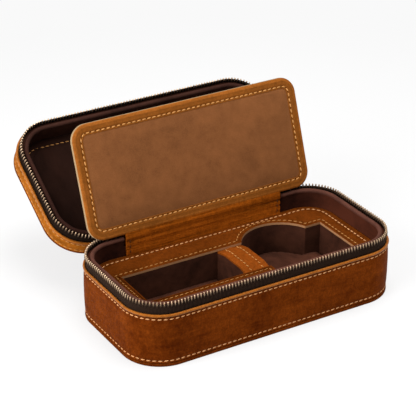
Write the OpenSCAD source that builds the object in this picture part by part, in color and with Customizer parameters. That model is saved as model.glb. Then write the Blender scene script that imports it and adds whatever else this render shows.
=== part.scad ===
// Zip-around travel case for two watches: a leather base with a recessed tray,
// a shallow lid on a leather spine at the back, and a padded flap between them.
// Frame: X along the front, Y to the back, Z up, origin under the base's centre.
// The case stands open: the lid is tipped back and the flap leans on the zip.

/* [Case] */
// Length of the case along its front
case_w = 170; // [160:1:180]
// Depth of the case from front to back
case_d = 85.5; // [82:0.5:92]
// Corner radius of the outer leather
corner_r = 23; // [21:0.5:25]
// Height of the zip's mesh plane above the table
mesh_z = 39.5; // [38.5:0.5:44]
// Distance from the mesh plane to the edge of each leather wall
wall_drop = 8.8; // [8.4:0.1:9.6]
// Height of the closed case
closed_h = 57.5; // [56:0.5:62]

/* [Leather and boards] */
// Thickness of the outer leather
leather_t = 1.2; // [1:0.1:1.4]
// Thickness of the base's bottom leather, which shows as a welt
welt_t = 2; // [1.6:0.1:2.4]
// Thickness of the stiffening boards
board_t = 1.6; // [1.4:0.1:1.8]
// Thickness of the suede liner with its foam
liner_t = 2.3; // [1.8:0.1:2.6]

/* [Zip] */
// Distance from one tooth to the next
tooth_pitch = 1.95; // [1.9:0.05:2.5]
// Height of a tooth
tooth_h = 2.4; // [2:0.1:2.6]
// Thickness of a tooth across the tape
tooth_t = 2; // [1.6:0.1:2]
// Thickness of the zip tape
tape_t = 0.5; // [0.4:0.05:0.6]
// Distance of the tape's outer face from the outer leather face
tape_inset = 1.2; // [1.2:0.1:1.3]
// Length of the slider
slider_l = 8; // [7:0.1:8]
// Length of the pull tab
pull_l = 18; // [12:0.5:20]

/* [Tray] */
// Height of the tray's leather above the table
tray_z = 25.6; // [24:0.1:26.5]
// Left end of the left well
well_left_x = -66; // [-67:0.5:-60]
// Left edge of the divider between the wells
divider_left_x = -3.3; // [-6:0.1:0]
// Right edge of the divider between the wells
divider_right_x = 12.8; // [12:0.1:14]
// Right end of the right well
well_right_x = 66.4; // [60:0.1:67]
// Back edge of the left well, behind the tray's middle
left_well_back = 16.8; // [15:0.1:18]
// Front edge of the left well, before the tray's middle
left_well_front = -14.8; // [-17:0.1:-13]
// Back edge of the right well beside its round bulge
right_well_back = 14.5; // [13:0.1:16]
// Front edge of the right well
right_well_front = -20.2; // [-23:0.1:-18]
// Centre of the right well's round bulge
bulge_x = 33.8; // [33:0.1:35]
// Centre of that bulge behind the tray's middle
bulge_y = 5.5; // [4:0.1:6]
// Radius of the right well's round bulge
bulge_r = 23.8; // [23:0.1:25]
// Height of the padded strap between the wells above the tray's board
strap_rise = 1.9; // [0.5:0.1:1.9]

/* [Flap] */
// Length of the flap
flap_w = 148; // [140:1:150]
// Height of the flap
flap_h = 66.8; // [60:0.2:68]
// Corner radius of the flap
flap_r = 9.7; // [8:0.1:12]
// Width of the flap's leather border
border_w = 6.5; // [5:0.1:8]
// Lean of the open flap behind the vertical
flap_lean = 19.4; // [15:0.1:19.4]

/* [Hinges] */
// Opening angle of the lid, counted from closed
lid_open = 148; // [140:1:150]
// Half length of the leather spine and of the flap's hinge strip
spine_half = 52; // [48:1:52]

/* [Hidden] */
$fn = 72;

cognac = "#7a3d16";
tan_edge = "#c8843a";
tray_brown = "#8e4a0e";
suede_dark = "#3a1d16";
suede_rose = "#8a5a4a";
suede_brown = "#7d4c29";
tape_black = "#2a2524";
antique_brass = "#b9a57e";
board_grey = "#8f8878";
foam_grey = "#55504c";

half_w = case_w / 2;
half_d = case_d / 2;
mesh_gap = 0.2;                                // from the mesh plane to each tooth's tip
board_inset = tape_inset + tape_t;
liner_inset = board_inset + board_t;
room_inset = liner_inset + liner_t;            // inner face of the suede
wall_z = mesh_z - wall_drop;                   // top of the base's leather wall
board_top = wall_z - 0.6;
ledge_z = wall_z + 0.7;                        // top of the liner under the back ledge
liner_top = mesh_z - 4.1;                      // top of the liner beside the zip
tape_top = mesh_z - mesh_gap - tooth_h;
tape_foot = wall_z - 4;
floor_z = welt_t + board_t;                    // top of the base's floor board
edge_r = 1.3;                                  // rolled edge of the liner
edge_inset = liner_inset + 1.5;
piping_r = 0.85;
piping_inset = 0.33;
back_cut = 20;                                 // depth of the cuts at the back edge

tray_leather_t = 1.4;
tray_board_t = 1.6;
well_liner_t = 1;
pad_t = 3;
tray_board_z = tray_z - tray_leather_t - tray_board_t;
strap_t = 1.4;
strap_tuck = 1;                                // strap's ends under the tray's leather

// Height of the closed lid's wall above its mirrored mesh plane, seen as a second base
lid_depth = closed_h - mesh_z;
lid_skin_t = 1.2;
lid_panel_t = 1.5;
lid_board_t = 1.3;

spine_t = 1.1;
spine_foot = 7;
lid_axis_y = half_d + spine_t + 0.65;
lid_axis_z = mesh_z - 1.9;
spine_fold_r = 0.8;
spine_gap = 0.6;

strip_t = 1.2;
flap_axis_y = half_d - room_inset - strip_t + 0.05;
flap_axis_z = mesh_z - 0.85;
flap_fold_r = 0.6;
flap_rise = 0.9;                               // flap's lower edge above its fold
flap_skin_t = 1;
flap_board_t = 1.6;

zip_inset = tape_inset + tape_t / 2;
zip_arc_r = corner_r - zip_inset;
zip_arc = zip_arc_r * PI / 2;
run_x = case_w - 2 * corner_r;
run_y = case_d - 2 * corner_r;
zip_len = 4 * zip_arc + 2 * run_y + run_x;
tooth_n = floor(zip_len / tooth_pitch);
tooth_l = tooth_pitch / 2;
zip_end_x = half_w - corner_r;                 // the teeth end where the back runs straight
tape_end_left = zip_end_x + 1.2;
tape_end_right = spine_half + 1;

slider_x = -(spine_half + 1.2 + slider_l / 2);
slider_w = 6;
slider_t = 3.6;
plate_t = 0.8;
wedge_w = 1.6;
pull_w = 3.4;
pull_t = 1;
pin_r = 0.5;
pin_out = slider_t / 2 + 1.4;                  // pull pin's axis outside the tape
lug_t = 0.7;
eye_w = 2.8;

// A rounded rectangle, inset from the case's outline
module outline(inset) {
    r = corner_r - inset;
    square([case_w - 2 * corner_r, case_d - 2 * inset], center = true);
    square([case_w - 2 * inset, case_d - 2 * corner_r], center = true);
    for (x = [-1, 1], y = [-1, 1])
        translate([x * (half_w - corner_r), y * (half_d - corner_r)]) circle(r);
}

// A plate with the case's outline
module plate(inset, z0, z1) {
    translate([0, 0, z0]) linear_extrude(z1 - z0) outline(inset);
}

// A wall that follows the case's outline between two insets
module wall(inset0, inset1, z0, z1) {
    translate([0, 0, z0]) linear_extrude(z1 - z0) difference() {
        outline(inset0);
        outline(inset1);
    }
}

// Sweeps a profile (x outwards, y up) round the case's outline
module around(inset) {
    r = corner_r - inset;
    for (a = [0, 90, 180, 270]) {
        side_x = (a % 180 == 0) ? half_w : half_d;
        run = (a % 180 == 0) ? run_y : run_x;
        rotate([0, 0, a]) translate([side_x - inset, run / 2, 0])
            rotate([90, 0, 0]) linear_extrude(run) children();
        rotate([0, 0, a]) translate([side_x - corner_r, run / 2, 0])
            rotate_extrude(angle = 90) translate([r, 0]) children();
    }
}

// A round bead, cut flat at the given height where it rests
module bead(r, z, foot) {
    intersection() {
        translate([0, z]) circle(r, $fn = 40);
        translate([-2 * r, foot]) square([4 * r, 4 * r]);
    }
}

// A block that clears the back edge between two places along it
module back_slot(x0, x1) {
    translate([x0, half_d - back_cut, -1]) cube([x1 - x0, 2 * back_cut, closed_h + 2]);
}

// Place and outward angle of a point along the zip, from the back right corner
function arc_at(x, y, a) = [x + zip_arc_r * cos(a), y + zip_arc_r * sin(a), a];
function zip_at(s) =
    let (x = run_x / 2, y = run_y / 2, turn = 90 / zip_arc)
    s < zip_arc ? arc_at(x, y, 90 - s * turn)
    : s < zip_arc + run_y ? [half_w - zip_inset, y - (s - zip_arc), 0]
    : s < 2 * zip_arc + run_y ? arc_at(x, -y, -(s - zip_arc - run_y) * turn)
    : s < 2 * zip_arc + run_y + run_x
        ? [x - (s - 2 * zip_arc - run_y), zip_inset - half_d, -90]
    : s < 3 * zip_arc + run_y + run_x
        ? arc_at(-x, -y, -90 - (s - 2 * zip_arc - run_y - run_x) * turn)
    : s < 3 * zip_arc + 2 * run_y + run_x
        ? [zip_inset - half_w, s - 3 * zip_arc - run_y - run_x - y, 180]
    : arc_at(-x, y, 180 - (s - 3 * zip_arc - 2 * run_y - run_x) * turn);

// Cut-outs in the tray, grown by a margin
module left_well(grow) {
    translate([well_left_x - grow, left_well_front - grow])
        square([divider_left_x - well_left_x + 2 * grow,
                left_well_back - left_well_front + 2 * grow]);
}

module right_well(grow) {
    translate([divider_right_x - grow, right_well_front - grow])
        square([well_right_x - divider_right_x + 2 * grow,
                right_well_back - right_well_front + 2 * grow]);
    intersection() {
        translate([bulge_x, bulge_y]) circle(bulge_r + grow);
        translate([divider_right_x - grow, -case_d]) square([case_w, 2 * case_d]);
    }
}

module tray_opening(grow) {
    left_well(grow);
    right_well(grow);
    translate([divider_left_x - 1, left_well_front - grow])
        square([divider_right_x - divider_left_x + 1,
                left_well_back - left_well_front + 2 * grow]);
}

// The crown of the divider between two places across it: it rises from the tray's board at
// both ends, and raised lifts it by the strap's thickness
module divider_crown(x0, x1, raised) {
    run = left_well_back - left_well_front;
    foot = tray_board_z - 1;
    crown = [for (i = [0 : 12]) [left_well_front + run * i / 12,
        tray_board_z + raised + strap_rise * min(1, 1.5 * sin(15 * i))]];
    translate([x0, 0, 0]) rotate([90, 0, 90]) linear_extrude(x1 - x0)
        polygon(concat([[left_well_front, foot]], crown, [[left_well_back, foot]]));
}

// The flap's outline, inset from its edge, with x along the fold and y away from it
module flap_outline(inset) {
    w = flap_w / 2 - flap_r;
    for (x = [-w, w], y = [flap_r, flap_h - flap_r])
        translate([x, y]) circle(flap_r - inset);
    translate([-w, inset]) square([2 * w, flap_h - 2 * inset]);
    translate([inset - flap_w / 2, flap_r])
        square([flap_w - 2 * inset, flap_h - 2 * flap_r]);
}

// Stands a flap layer on the fold: depth counts back from the flap's front face
module flap_layer(depth, t) {
    translate([0, flap_axis_y, flap_axis_z]) rotate([90 - flap_lean, 0, 0])
        translate([0, flap_rise, -depth - t]) linear_extrude(t) children();
}

// Mirrors a piece in the zip's mesh plane, from the base to the closed lid
module to_lid() {
    translate([0, 0, 2 * mesh_z]) mirror([0, 0, 1]) children();
}

// Turns a closed piece about the spine's fold
module swing(angle) {
    translate([0, lid_axis_y, lid_axis_z]) rotate([-angle, 0, 0])
        translate([0, -lid_axis_y, -lid_axis_z]) children();
}

module opened() {
    swing(lid_open) children();
}

// Rim pieces that the base and the lid share
module piping() {
    difference() {
        around(piping_inset) bead(piping_r, wall_z + 0.7, wall_z);
        back_slot(-spine_half - 1, spine_half + 1);
    }
}

module liner_edge() {
    difference() {
        around(edge_inset) bead(edge_r, liner_top + 0.8, liner_top);
        back_slot(-spine_half - 1, spine_half + 1);
    }
}

module back_ledge() {
    translate([-spine_half, half_d - room_inset, ledge_z])
        cube([2 * spine_half, room_inset, 2]);
}

// Suede liner with its foam: it widens above the board, up to the tape
module liner_wall(foot) {
    union() {
        wall(liner_inset, room_inset, foot, ledge_z);
        difference() {
            wall(board_inset, room_inset, board_top, liner_top);
            back_slot(-spine_half - 1, spine_half + 1);
        }
    }
}

module zip_tape() {
    difference() {
        wall(tape_inset, tape_inset + tape_t, tape_foot, tape_top);
        translate([-tape_end_left, 0, tape_foot - 1])
            cube([tape_end_left + tape_end_right, case_d, case_d]);
    }
}

module zip_teeth() {
    for (i = [1 : tooth_n - 1]) {
        p = zip_at((i + 0.5) * zip_len / (tooth_n + 1));
        translate([p[0], p[1], tape_top]) rotate([0, 0, p[2]])
            translate([-tooth_t / 2, -tooth_l / 2, 0]) cube([tooth_t, tooth_l, tooth_h]);
    }
}

// Metal stops beyond the last teeth, one at each end of the chain
module zip_stops() {
    stop_l = 1.2;
    for (s = [0, zip_len]) {
        p = zip_at(s);
        translate([p[0], p[1], tape_top]) rotate([0, 0, p[2]])
            translate([-tooth_t / 2, -stop_l / 2, 0]) cube([tooth_t, stop_l, 1.2]);
    }
}

// Leather of the spine, from its foot to the fold
module spine_leaf(foot, top) {
    translate([-spine_half, half_d, foot]) cube([2 * spine_half, spine_t, top - foot]);
}

module base_bottom_panel() {
    color(cognac) plate(0, 0, welt_t);
}

module base_outer_wall() {
    color(cognac) wall(0, leather_t, welt_t, wall_z);
}

module base_wall_board() {
    color(board_grey) union() {
        wall(leather_t, liner_inset, welt_t, tape_foot);
        wall(board_inset, liner_inset, tape_foot - 0.5, board_top);
    }
}

module base_floor_board() {
    color(board_grey) plate(liner_inset, welt_t, floor_z);
}

module base_liner_wall() {
    color(suede_dark) liner_wall(floor_z);
}

module base_liner_edge() {
    color(suede_rose) liner_edge();
}

module base_back_ledge() {
    color(tray_brown) back_ledge();
}

module base_piping() {
    color(tan_edge) piping();
}

module base_zip_tape() {
    color(tape_black) zip_tape();
}

module base_zip_teeth() {
    color(antique_brass) zip_teeth();
}

module base_zip_stops() {
    color(antique_brass) zip_stops();
}

module base_spine_leaf() {
    color(cognac) union() {
        spine_leaf(spine_foot, lid_axis_z + spine_fold_r);
        translate([-spine_half, half_d + spine_t / 2, lid_axis_z - spine_fold_r])
            cube([2 * spine_half, lid_axis_y - half_d - spine_t / 2, 2 * spine_fold_r]);
        translate([-spine_half, lid_axis_y, lid_axis_z]) rotate([0, 90, 0])
            cylinder(h = 2 * spine_half, r = spine_fold_r);
    }
}

module tray_foam_block() {
    color(foam_grey) union() {
        translate([0, 0, floor_z]) linear_extrude(tray_board_z - floor_z) difference() {
            outline(room_inset);
            left_well(well_liner_t);
            right_well(well_liner_t);
        }
        divider_crown(divider_left_x + well_liner_t, divider_right_x - well_liner_t, 0);
    }
}

module tray_board() {
    color(board_grey) translate([0, 0, tray_board_z]) linear_extrude(tray_board_t)
        difference() {
            outline(room_inset);
            tray_opening(strap_tuck);
        }
}

module tray_top() {
    color(tray_brown) translate([0, 0, tray_z - tray_leather_t])
        linear_extrude(tray_leather_t) difference() {
            outline(room_inset);
            tray_opening(0);
        }
}

module tray_divider_strap() {
    color(tray_brown) difference() {
        union() {
            divider_crown(divider_left_x, divider_right_x, strap_t);
            translate([divider_left_x, left_well_front - strap_tuck, tray_board_z])
                cube([divider_right_x - divider_left_x,
                      left_well_back - left_well_front + 2 * strap_tuck, strap_t]);
        }
        divider_crown(divider_left_x - 1, divider_right_x + 1, 0);
    }
}

// A well's suede box: its floor, its walls up to the tray's foam and its side of the divider
module well_box(x0, x1) {
    translate([0, 0, floor_z]) linear_extrude(well_liner_t) children(0);
    translate([0, 0, floor_z]) linear_extrude(tray_board_z - floor_z) difference() {
        children(0);
        children(1);
    }
    divider_crown(x0, x1, 0);
}

module left_well_liner() {
    color(suede_dark) well_box(divider_left_x, divider_left_x + well_liner_t) {
        left_well(well_liner_t);
        left_well(0);
    }
}

module right_well_liner() {
    color(suede_dark) well_box(divider_right_x - well_liner_t, divider_right_x) {
        right_well(well_liner_t);
        right_well(0);
    }
}

module left_well_pad() {
    color(suede_dark) translate([0, 0, floor_z + well_liner_t])
        linear_extrude(pad_t) left_well(0);
}

module right_well_pad() {
    color(suede_dark) translate([0, 0, floor_z + well_liner_t])
        linear_extrude(pad_t) right_well(0);
}

module flap_hinge_strip() {
    color(tray_brown) union() {
        translate([-spine_half, half_d - room_inset - strip_t, tray_z])
            cube([2 * spine_half, strip_t, flap_axis_z - tray_z]);
        translate([-spine_half, flap_axis_y, flap_axis_z]) rotate([0, 90, 0])
            cylinder(h = 2 * spine_half, r = flap_fold_r);
    }
}

module flap_frame() {
    color(tan_edge) flap_layer(0, flap_skin_t) difference() {
        flap_outline(0);
        flap_outline(border_w);
    }
}

module flap_front_panel() {
    color(suede_brown) flap_layer(0.2, flap_skin_t - 0.2) flap_outline(border_w);
}

module flap_board() {
    color(board_grey) flap_layer(flap_skin_t, flap_board_t) flap_outline(0.9);
}

module flap_back_panel() {
    color(suede_brown) flap_layer(flap_skin_t + flap_board_t, flap_skin_t) flap_outline(1.5);
}

module lid_top_panel() {
    color(cognac) opened() plate(0, closed_h - lid_skin_t, closed_h);
}

module lid_outer_wall() {
    color(cognac) opened()
        wall(0, leather_t, 2 * mesh_z - wall_z, closed_h - lid_skin_t);
}

module lid_wall_board() {
    color(board_grey) opened()
        wall(board_inset, liner_inset, 2 * mesh_z - board_top, closed_h - lid_skin_t);
}

module lid_top_board() {
    color(board_grey) opened()
        plate(liner_inset, closed_h - lid_skin_t - lid_board_t, closed_h - lid_skin_t);
}

module lid_liner_wall() {
    color(suede_dark) opened() to_lid()
        liner_wall(2 * mesh_z - closed_h + lid_skin_t + lid_board_t);
}

module lid_liner_panel() {
    color(suede_dark) opened()
        plate(room_inset, closed_h - lid_skin_t - lid_board_t - lid_panel_t,
            closed_h - lid_skin_t - lid_board_t);
}

module lid_liner_edge() {
    color(suede_rose) opened() to_lid() liner_edge();
}

module lid_back_ledge() {
    color(tray_brown) opened() to_lid() back_ledge();
}

module lid_piping() {
    color(tan_edge) opened() to_lid() piping();
}

module lid_zip_tape() {
    color(tape_black) opened() to_lid() zip_tape();
}

module lid_zip_teeth() {
    color(antique_brass) opened() to_lid() zip_teeth();
}

module lid_zip_stops() {
    color(antique_brass) opened() to_lid() zip_stops();
}

module lid_spine_leaf() {
    color(cognac) opened()
        spine_leaf(lid_axis_z + spine_fold_r + spine_gap, closed_h - 1);
}

// Moves a piece from the slider's own frame to the zip's end: x along the chain,
// y outwards through the tape, z across the tapes
module on_slider() {
    swing(lid_open / 2) translate([slider_x, half_d - zip_inset, mesh_z]) children();
}

module zip_slider() {
    channel_t = slider_t - 2 * plate_t;
    color(antique_brass) on_slider() union() {
        difference() {
            cube([slider_l, slider_t, slider_w], center = true);
            cube([slider_l + 2, channel_t, slider_w + 2], center = true);
        }
        cube([slider_l / 3, channel_t, wedge_w], center = true);
        for (z = [-1, 1]) difference() {
            translate([-1.2, slider_t / 2, z * (eye_w / 2 + 0.3 + lug_t / 2) - lug_t / 2])
                cube([2.4, pin_out - slider_t / 2 + 1, lug_t]);
            translate([0, pin_out, -slider_w]) cylinder(h = 2 * slider_w, r = pin_r);
        }
    }
}

module zip_pull_pin() {
    pin_l = eye_w + 0.6 + 2 * lug_t;
    color(antique_brass) on_slider() translate([0, pin_out, -pin_l / 2])
        cylinder(h = pin_l, r = pin_r);
}

module zip_pull_tab() {
    eye_r = 1.1;
    color(antique_brass) on_slider() translate([0, pin_out, 0]) difference() {
        union() {
            translate([0, 0, -eye_w / 2]) cylinder(h = eye_w, r = eye_r);
            translate([-pull_t / 2, 0, -eye_w / 2]) cube([pull_t, 4, eye_w]);
            translate([-pull_t / 2, 3.5, -pull_w / 2])
                cube([pull_t, pull_l - 3.5 - pull_w / 2, pull_w]);
            translate([-pull_t / 2, pull_l - pull_w / 2, 0]) rotate([0, 90, 0])
                cylinder(h = pull_t, r = pull_w / 2);
        }
        translate([0, 0, -eye_w]) cylinder(h = 2 * eye_w, r = pin_r + 0.1);
    }
}

base_bottom_panel();
base_outer_wall();
base_wall_board();
base_floor_board();
base_liner_wall();
base_liner_edge();
base_back_ledge();
base_piping();
base_zip_tape();
base_zip_teeth();
base_zip_stops();
base_spine_leaf();
tray_foam_block();
tray_board();
tray_top();
tray_divider_strap();
left_well_liner();
right_well_liner();
left_well_pad();
right_well_pad();
flap_hinge_strip();
flap_frame();
flap_front_panel();
flap_board();
flap_back_panel();
lid_top_panel();
lid_outer_wall();
lid_wall_board();
lid_top_board();
lid_liner_wall();
lid_liner_panel();
lid_liner_edge();
lid_back_ledge();
lid_piping();
lid_zip_tape();
lid_zip_teeth();
lid_zip_stops();
lid_spine_leaf();
zip_slider();
zip_pull_pin();
zip_pull_tab();
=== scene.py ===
from math import hypot, pi, radians, sin

import bmesh
import bpy
from bpy.props import FloatProperty, FloatVectorProperty, IntProperty, PointerProperty
from mathutils import Matrix, Vector


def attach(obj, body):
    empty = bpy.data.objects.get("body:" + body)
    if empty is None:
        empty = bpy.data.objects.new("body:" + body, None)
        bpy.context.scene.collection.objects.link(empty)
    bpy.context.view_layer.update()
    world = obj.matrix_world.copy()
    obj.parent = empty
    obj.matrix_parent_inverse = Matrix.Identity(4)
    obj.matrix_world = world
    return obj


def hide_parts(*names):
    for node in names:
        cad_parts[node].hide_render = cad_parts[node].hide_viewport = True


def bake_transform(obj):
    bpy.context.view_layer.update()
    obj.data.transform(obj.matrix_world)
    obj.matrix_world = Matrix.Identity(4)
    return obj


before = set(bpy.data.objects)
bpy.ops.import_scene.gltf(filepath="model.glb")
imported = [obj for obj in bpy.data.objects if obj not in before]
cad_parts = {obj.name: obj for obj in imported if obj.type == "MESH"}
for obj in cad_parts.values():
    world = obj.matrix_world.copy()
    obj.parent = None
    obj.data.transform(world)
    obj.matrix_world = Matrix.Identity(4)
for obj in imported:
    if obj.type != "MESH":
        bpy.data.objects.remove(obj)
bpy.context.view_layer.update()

bl_info = {
    "name": "Watch Travel Case",
    "version": (1, 0, 0),
    "blender": (4, 5, 0),
    "location": "View3D > Sidebar > Watch Case",
    "description": "Makes a zip-around leather travel case for watches, piece by piece",
    "category": "Object",
}


# ---------------------------------------------------------------- sizes and colours

def mm(name, description, size):
    return FloatProperty(name=name, description=description, default=size / 1000,
                         subtype="DISTANCE", unit="LENGTH", precision=5)


def angle(name, description, default):
    return FloatProperty(name=name, description=description, default=radians(default),
                         subtype="ANGLE", unit="ROTATION")


def colour(name, description, default):
    return FloatVectorProperty(name=name, description=description, default=default,
                               subtype="COLOR", size=3, min=0, max=1)


def amount(name, description, default, unit="NONE"):
    return FloatProperty(name=name, description=description, default=default, min=0,
                         unit=unit)


class CaseSizes(bpy.types.PropertyGroup):
    half_w: mm("Half width", "From the middle to the left or right side", 85)
    half_d: mm("Half depth", "From the middle to the front or back", 42.75)
    corner: mm("Corner radius", "Radius of the upright corners", 23)
    wall_top: mm("Wall top", "Height of the base's leather wall", 30.7)
    mesh: mm("Mesh height", "Height of the plane where the zip closes", 39.5)
    closed: mm("Closed height", "Height of the closed case", 57.5)
    leather: mm("Leather", "Thickness of the outer leather", 1.2)
    welt: mm("Welt", "Thickness of the bottom leather", 2)
    room: mm("Room inset", "From the outer face in to the suede's face", 5.6)
    lid_board: mm("Lid board", "Thickness of the lid's board", 1.3)
    row_rim: mm("Rim row", "Stitch row, in from a wall's edge at the zip", 1.4)
    row_foot: mm("Foot row", "Stitch row above the bottom leather", 1.6)
    row_top: mm("Top row", "Stitch row below the lid's top leather", 1.2)
    spine_half: mm("Half spine", "Half length of the leather spine", 52)
    spine_gap: mm("Spine gap", "From the spine's end to the rims' ends", 1)
    spine_t: mm("Spine leather", "Thickness of the spine's leather", 1.1)
    spine_foot: mm("Spine foot", "Height of the spine's lower edge", 7)
    fold_y: mm("Fold, back", "How far back the spine's fold lies", 44.5)
    fold_z: mm("Fold, height", "Height of the spine's fold", 37.6)
    lid_open: angle("Lid opening", "Opening angle of the lid, from closed", 148)


class RimSizes(bpy.types.PropertyGroup):
    piping_r: mm("Piping radius", "Radius of the light piping", 0.85)
    piping_inset: mm("Piping inset", "In from the outer face", 0.33)
    piping_z: mm("Piping height", "Height of the piping's centre", 31.4)
    roll_r: mm("Roll radius", "Radius of the liner's rolled edge", 1.3)
    roll_inset: mm("Roll inset", "In from the outer face", 4.8)
    roll_z: mm("Roll height", "Height of the roll's centre", 36.2)
    ledge_z: mm("Ledge foot", "Underside of the back's leather ledge", 31.4)
    ledge_t: mm("Ledge", "Thickness of that ledge", 2)


class ZipSizes(bpy.types.PropertyGroup):
    pitch: mm("Tooth pitch", "From one tooth to the next", 1.95)
    tooth_h: mm("Tooth height", "Height of a tooth above the tape", 2.4)
    tooth_t: mm("Tooth thickness", "Size of a tooth across the tape", 2)
    tape_t: mm("Tape", "Thickness of the woven tape", 0.5)
    inset: mm("Tape inset", "Tape's middle, in from the outer face", 1.45)
    tape_top: mm("Tape top", "Height of the base's tape", 36.9)
    bead_r: mm("Bead radius", "Woven bead on the tape's edge", 0.6)
    end_x: mm("Chain end", "End of the chain, from the middle", 62)
    teeth: IntProperty(name="Teeth", description="Teeth on each tape", default=172, min=20)
    slider_x: mm("Slider place", "Where the slider is parked", -57.2)
    slider_l: mm("Slider length", "Its size along the chain", 8)
    slider_w: mm("Slider width", "Its size across the tapes", 6)
    slider_t: mm("Slider thickness", "Its size through the tape", 3.6)
    leaf_t: mm("Slider plate", "Thickness of the slider's plates", 0.8)
    pin_out: mm("Pin", "Pull's pin, out from the tape's middle", 3.2)
    pull_l: mm("Pull length", "Length of the pull tab", 18)
    pull_w: mm("Pull width", "Width of the pull tab", 3.4)


class TraySizes(bpy.types.PropertyGroup):
    top: mm("Tray height", "Height of the tray's leather", 25.6)
    leather: mm("Tray leather", "Thickness of the tray's leather", 1.4)
    left: mm("Left end", "Left end of the left well", -66)
    right: mm("Right end", "Right end of the right well", 66.4)
    strap_l: mm("Strap, left", "Left edge of the strap between the wells", -3.3)
    strap_r: mm("Strap, right", "Right edge of that strap", 12.8)
    left_front: mm("Left well, front", "Front edge of the left well", -14.8)
    left_back: mm("Left well, back", "Back edge of the left well", 16.8)
    right_front: mm("Right well, front", "Front edge of the right well", -20.2)
    right_back: mm("Right well, back", "Its back edge beside its bulge", 14.5)
    bulge_x: mm("Bulge place", "Centre of the right well's round bulge", 33.8)
    bulge_y: mm("Bulge depth", "Its centre, behind the tray's middle", 5.5)
    bulge_r: mm("Bulge radius", "Radius of that bulge", 23.8)
    strap_top: mm("Strap height", "Upper face of the strap at its ends", 24)
    strap_t: mm("Strap leather", "Thickness of the strap's leather", 1.4)
    strap_rise: mm("Strap rise", "Rise of the strap's padded crown", 1.9)
    strap_over: mm("Strap overlap", "How far the strap's ends pass the wells", 1)
    strap_row: mm("Strap row", "Stitch row, in from the strap's side", 4.2)
    floor: mm("Well floor", "Height of the wells' suede floor", 4.6)
    pad: mm("Pad", "Thickness of the wells' pads", 3)
    row_x: mm("Outer row, x", "Half length of the outer stitch row", 75.5)
    row_y: mm("Outer row, y", "Half depth of the outer stitch row", 33.2)
    row_r: mm("Outer row corner", "Corner radius of that row", 11.5)
    row_out: mm("Cut-out row", "Inner row, out from the cut edge", 2.7)


class FlapSizes(bpy.types.PropertyGroup):
    w: mm("Flap length", "Length of the flap along its fold", 148)
    h: mm("Flap height", "Height of the flap", 66.8)
    r: mm("Flap corner", "Corner radius of the flap", 9.7)
    border: mm("Border", "Width of the flap's leather border", 6.5)
    row: mm("Stitch row", "Border's stitch row, in from its edge", 5.2)
    t: mm("Flap thickness", "Thickness of the whole flap", 3.6)
    rise: mm("Rise", "Flap's lower edge above its fold", 0.9)
    fold_y: mm("Fold, back", "How far back the flap's fold lies", 36)
    fold_z: mm("Fold, height", "Height of the flap's fold", 38.65)
    strip_t: mm("Strip", "Thickness of the hinge strip", 1.2)
    lean: angle("Lean", "Lean of the open flap behind the vertical", 19.4)


class ThreadSizes(bpy.types.PropertyGroup):
    pitch: mm("Stitch pitch", "From one stitch to the next", 3.25)
    stitch: mm("Stitch", "Length of a stitch", 2.4)
    thick: mm("Thread", "Thickness of the thread", 0.85)
    slant: angle("Slant", "Slant of each stitch against its row", 7)
    seat: mm("Seat", "Middle of a thread above level leather", 0.1)
    wall_seat: mm("Wall seat", "Middle of a thread, in from a wall's face", 0.12)
    fine: amount("Fine thread", "Share of the thickness that a fine thread has", 0.72)


class CaseColours(bpy.types.PropertyGroup):
    cognac: colour("Cognac", "Outer leather, oiled dark", (0.062, 0.0100, 0.0009))
    cognac_light: colour("Cognac light", "Outer leather, rubbed", (0.230, 0.0490, 0.0046))
    # The lid's leather is painted paler than the base's: painted light, standing in for the side
    # lamp's light on the open lid's wall; the lid's hidden top leather keeps the base's cognac.
    lid: colour("Lid leather", "Lid's leather, paler from use", (0.36, 0.108, 0.010))
    tan: colour("Tan", "Piping leather", (0.35, 0.108, 0.0145))
    border: colour("Border", "Leather border of the flap", (0.230, 0.071, 0.0110))
    cut: colour("Cut edge", "Raw edge of the tray's leather", (0.42, 0.205, 0.09))
    tray: colour("Tray", "Tray leather", (0.116, 0.0262, 0.0028))
    hinge: colour("Hinge", "Leather of the flap's hinge", (0.320, 0.074, 0.0052))
    dark_suede: colour("Dark suede", "Suede of the wells", (0.046, 0.0150, 0.0078))
    # The liner suede is the wells' suede painted darker: painted shadow of the flap on the
    # base's wall.
    liner_suede: colour("Liner suede", "Suede of the base's wall", (0.026, 0.0066, 0.0030))
    # The lid's panel suede is painted far darker than the wells' suede: painted shade inside the
    # open lid.
    lid_suede: colour("Lid suede", "Suede of the lid's panel", (0.0125, 0.0040, 0.0020))
    rose_suede: colour("Rose suede", "Suede of the rolled edges", (0.078, 0.029, 0.019))
    brown_suede: colour("Brown suede", "Suede of the flap", (0.172, 0.0625, 0.0195))
    tape: colour("Tape", "Woven zip tape", (0.0140, 0.0074, 0.0046))
    brass: colour("Brass", "Zip metal", (0.34, 0.240, 0.155))
    patina: colour("Patina", "Film in the metal's low places", (0.050, 0.028, 0.017))
    thread: colour("Thread", "Stitches of the base's walls", (0.76, 0.375, 0.158))
    gold_thread: colour("Golden thread", "Stitches of the flap", (0.80, 0.37, 0.11))
    dark_thread: colour("Dark thread", "Stitches of the hinge", (0.10, 0.035, 0.012))
    paint: colour("Edge paint", "Dressing on the flap's cut edge", (0.34, 0.225, 0.115))
    board: colour("Board", "Stiffening board", (0.30, 0.28, 0.24))
    foam: colour("Foam", "Foam under the tray", (0.09, 0.085, 0.08))


class StageSettings(bpy.types.PropertyGroup):
    key: amount("Key lamp", "Power of the key lamp", 8.4, "POWER")
    fill: amount("Side lamp", "Power of the side lamp", 12.5, "POWER")
    sky: amount("Sky", "Strength of the plain sky light", 0.42)
    paper: colour("Paper", "Colour of the floor", (0.86, 0.86, 0.86))
    backdrop: colour("Backdrop", "Shade of the surroundings", (0.947, 0.947, 0.947))
    unlit: amount("Unlit share", "Backdrop's share in the floor near the case", 0.7)
    fade_start: mm("Fade start", "Where the floor starts to fade", 120)
    fade_end: mm("Fade end", "Where the floor is the backdrop alone", 450)


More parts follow.
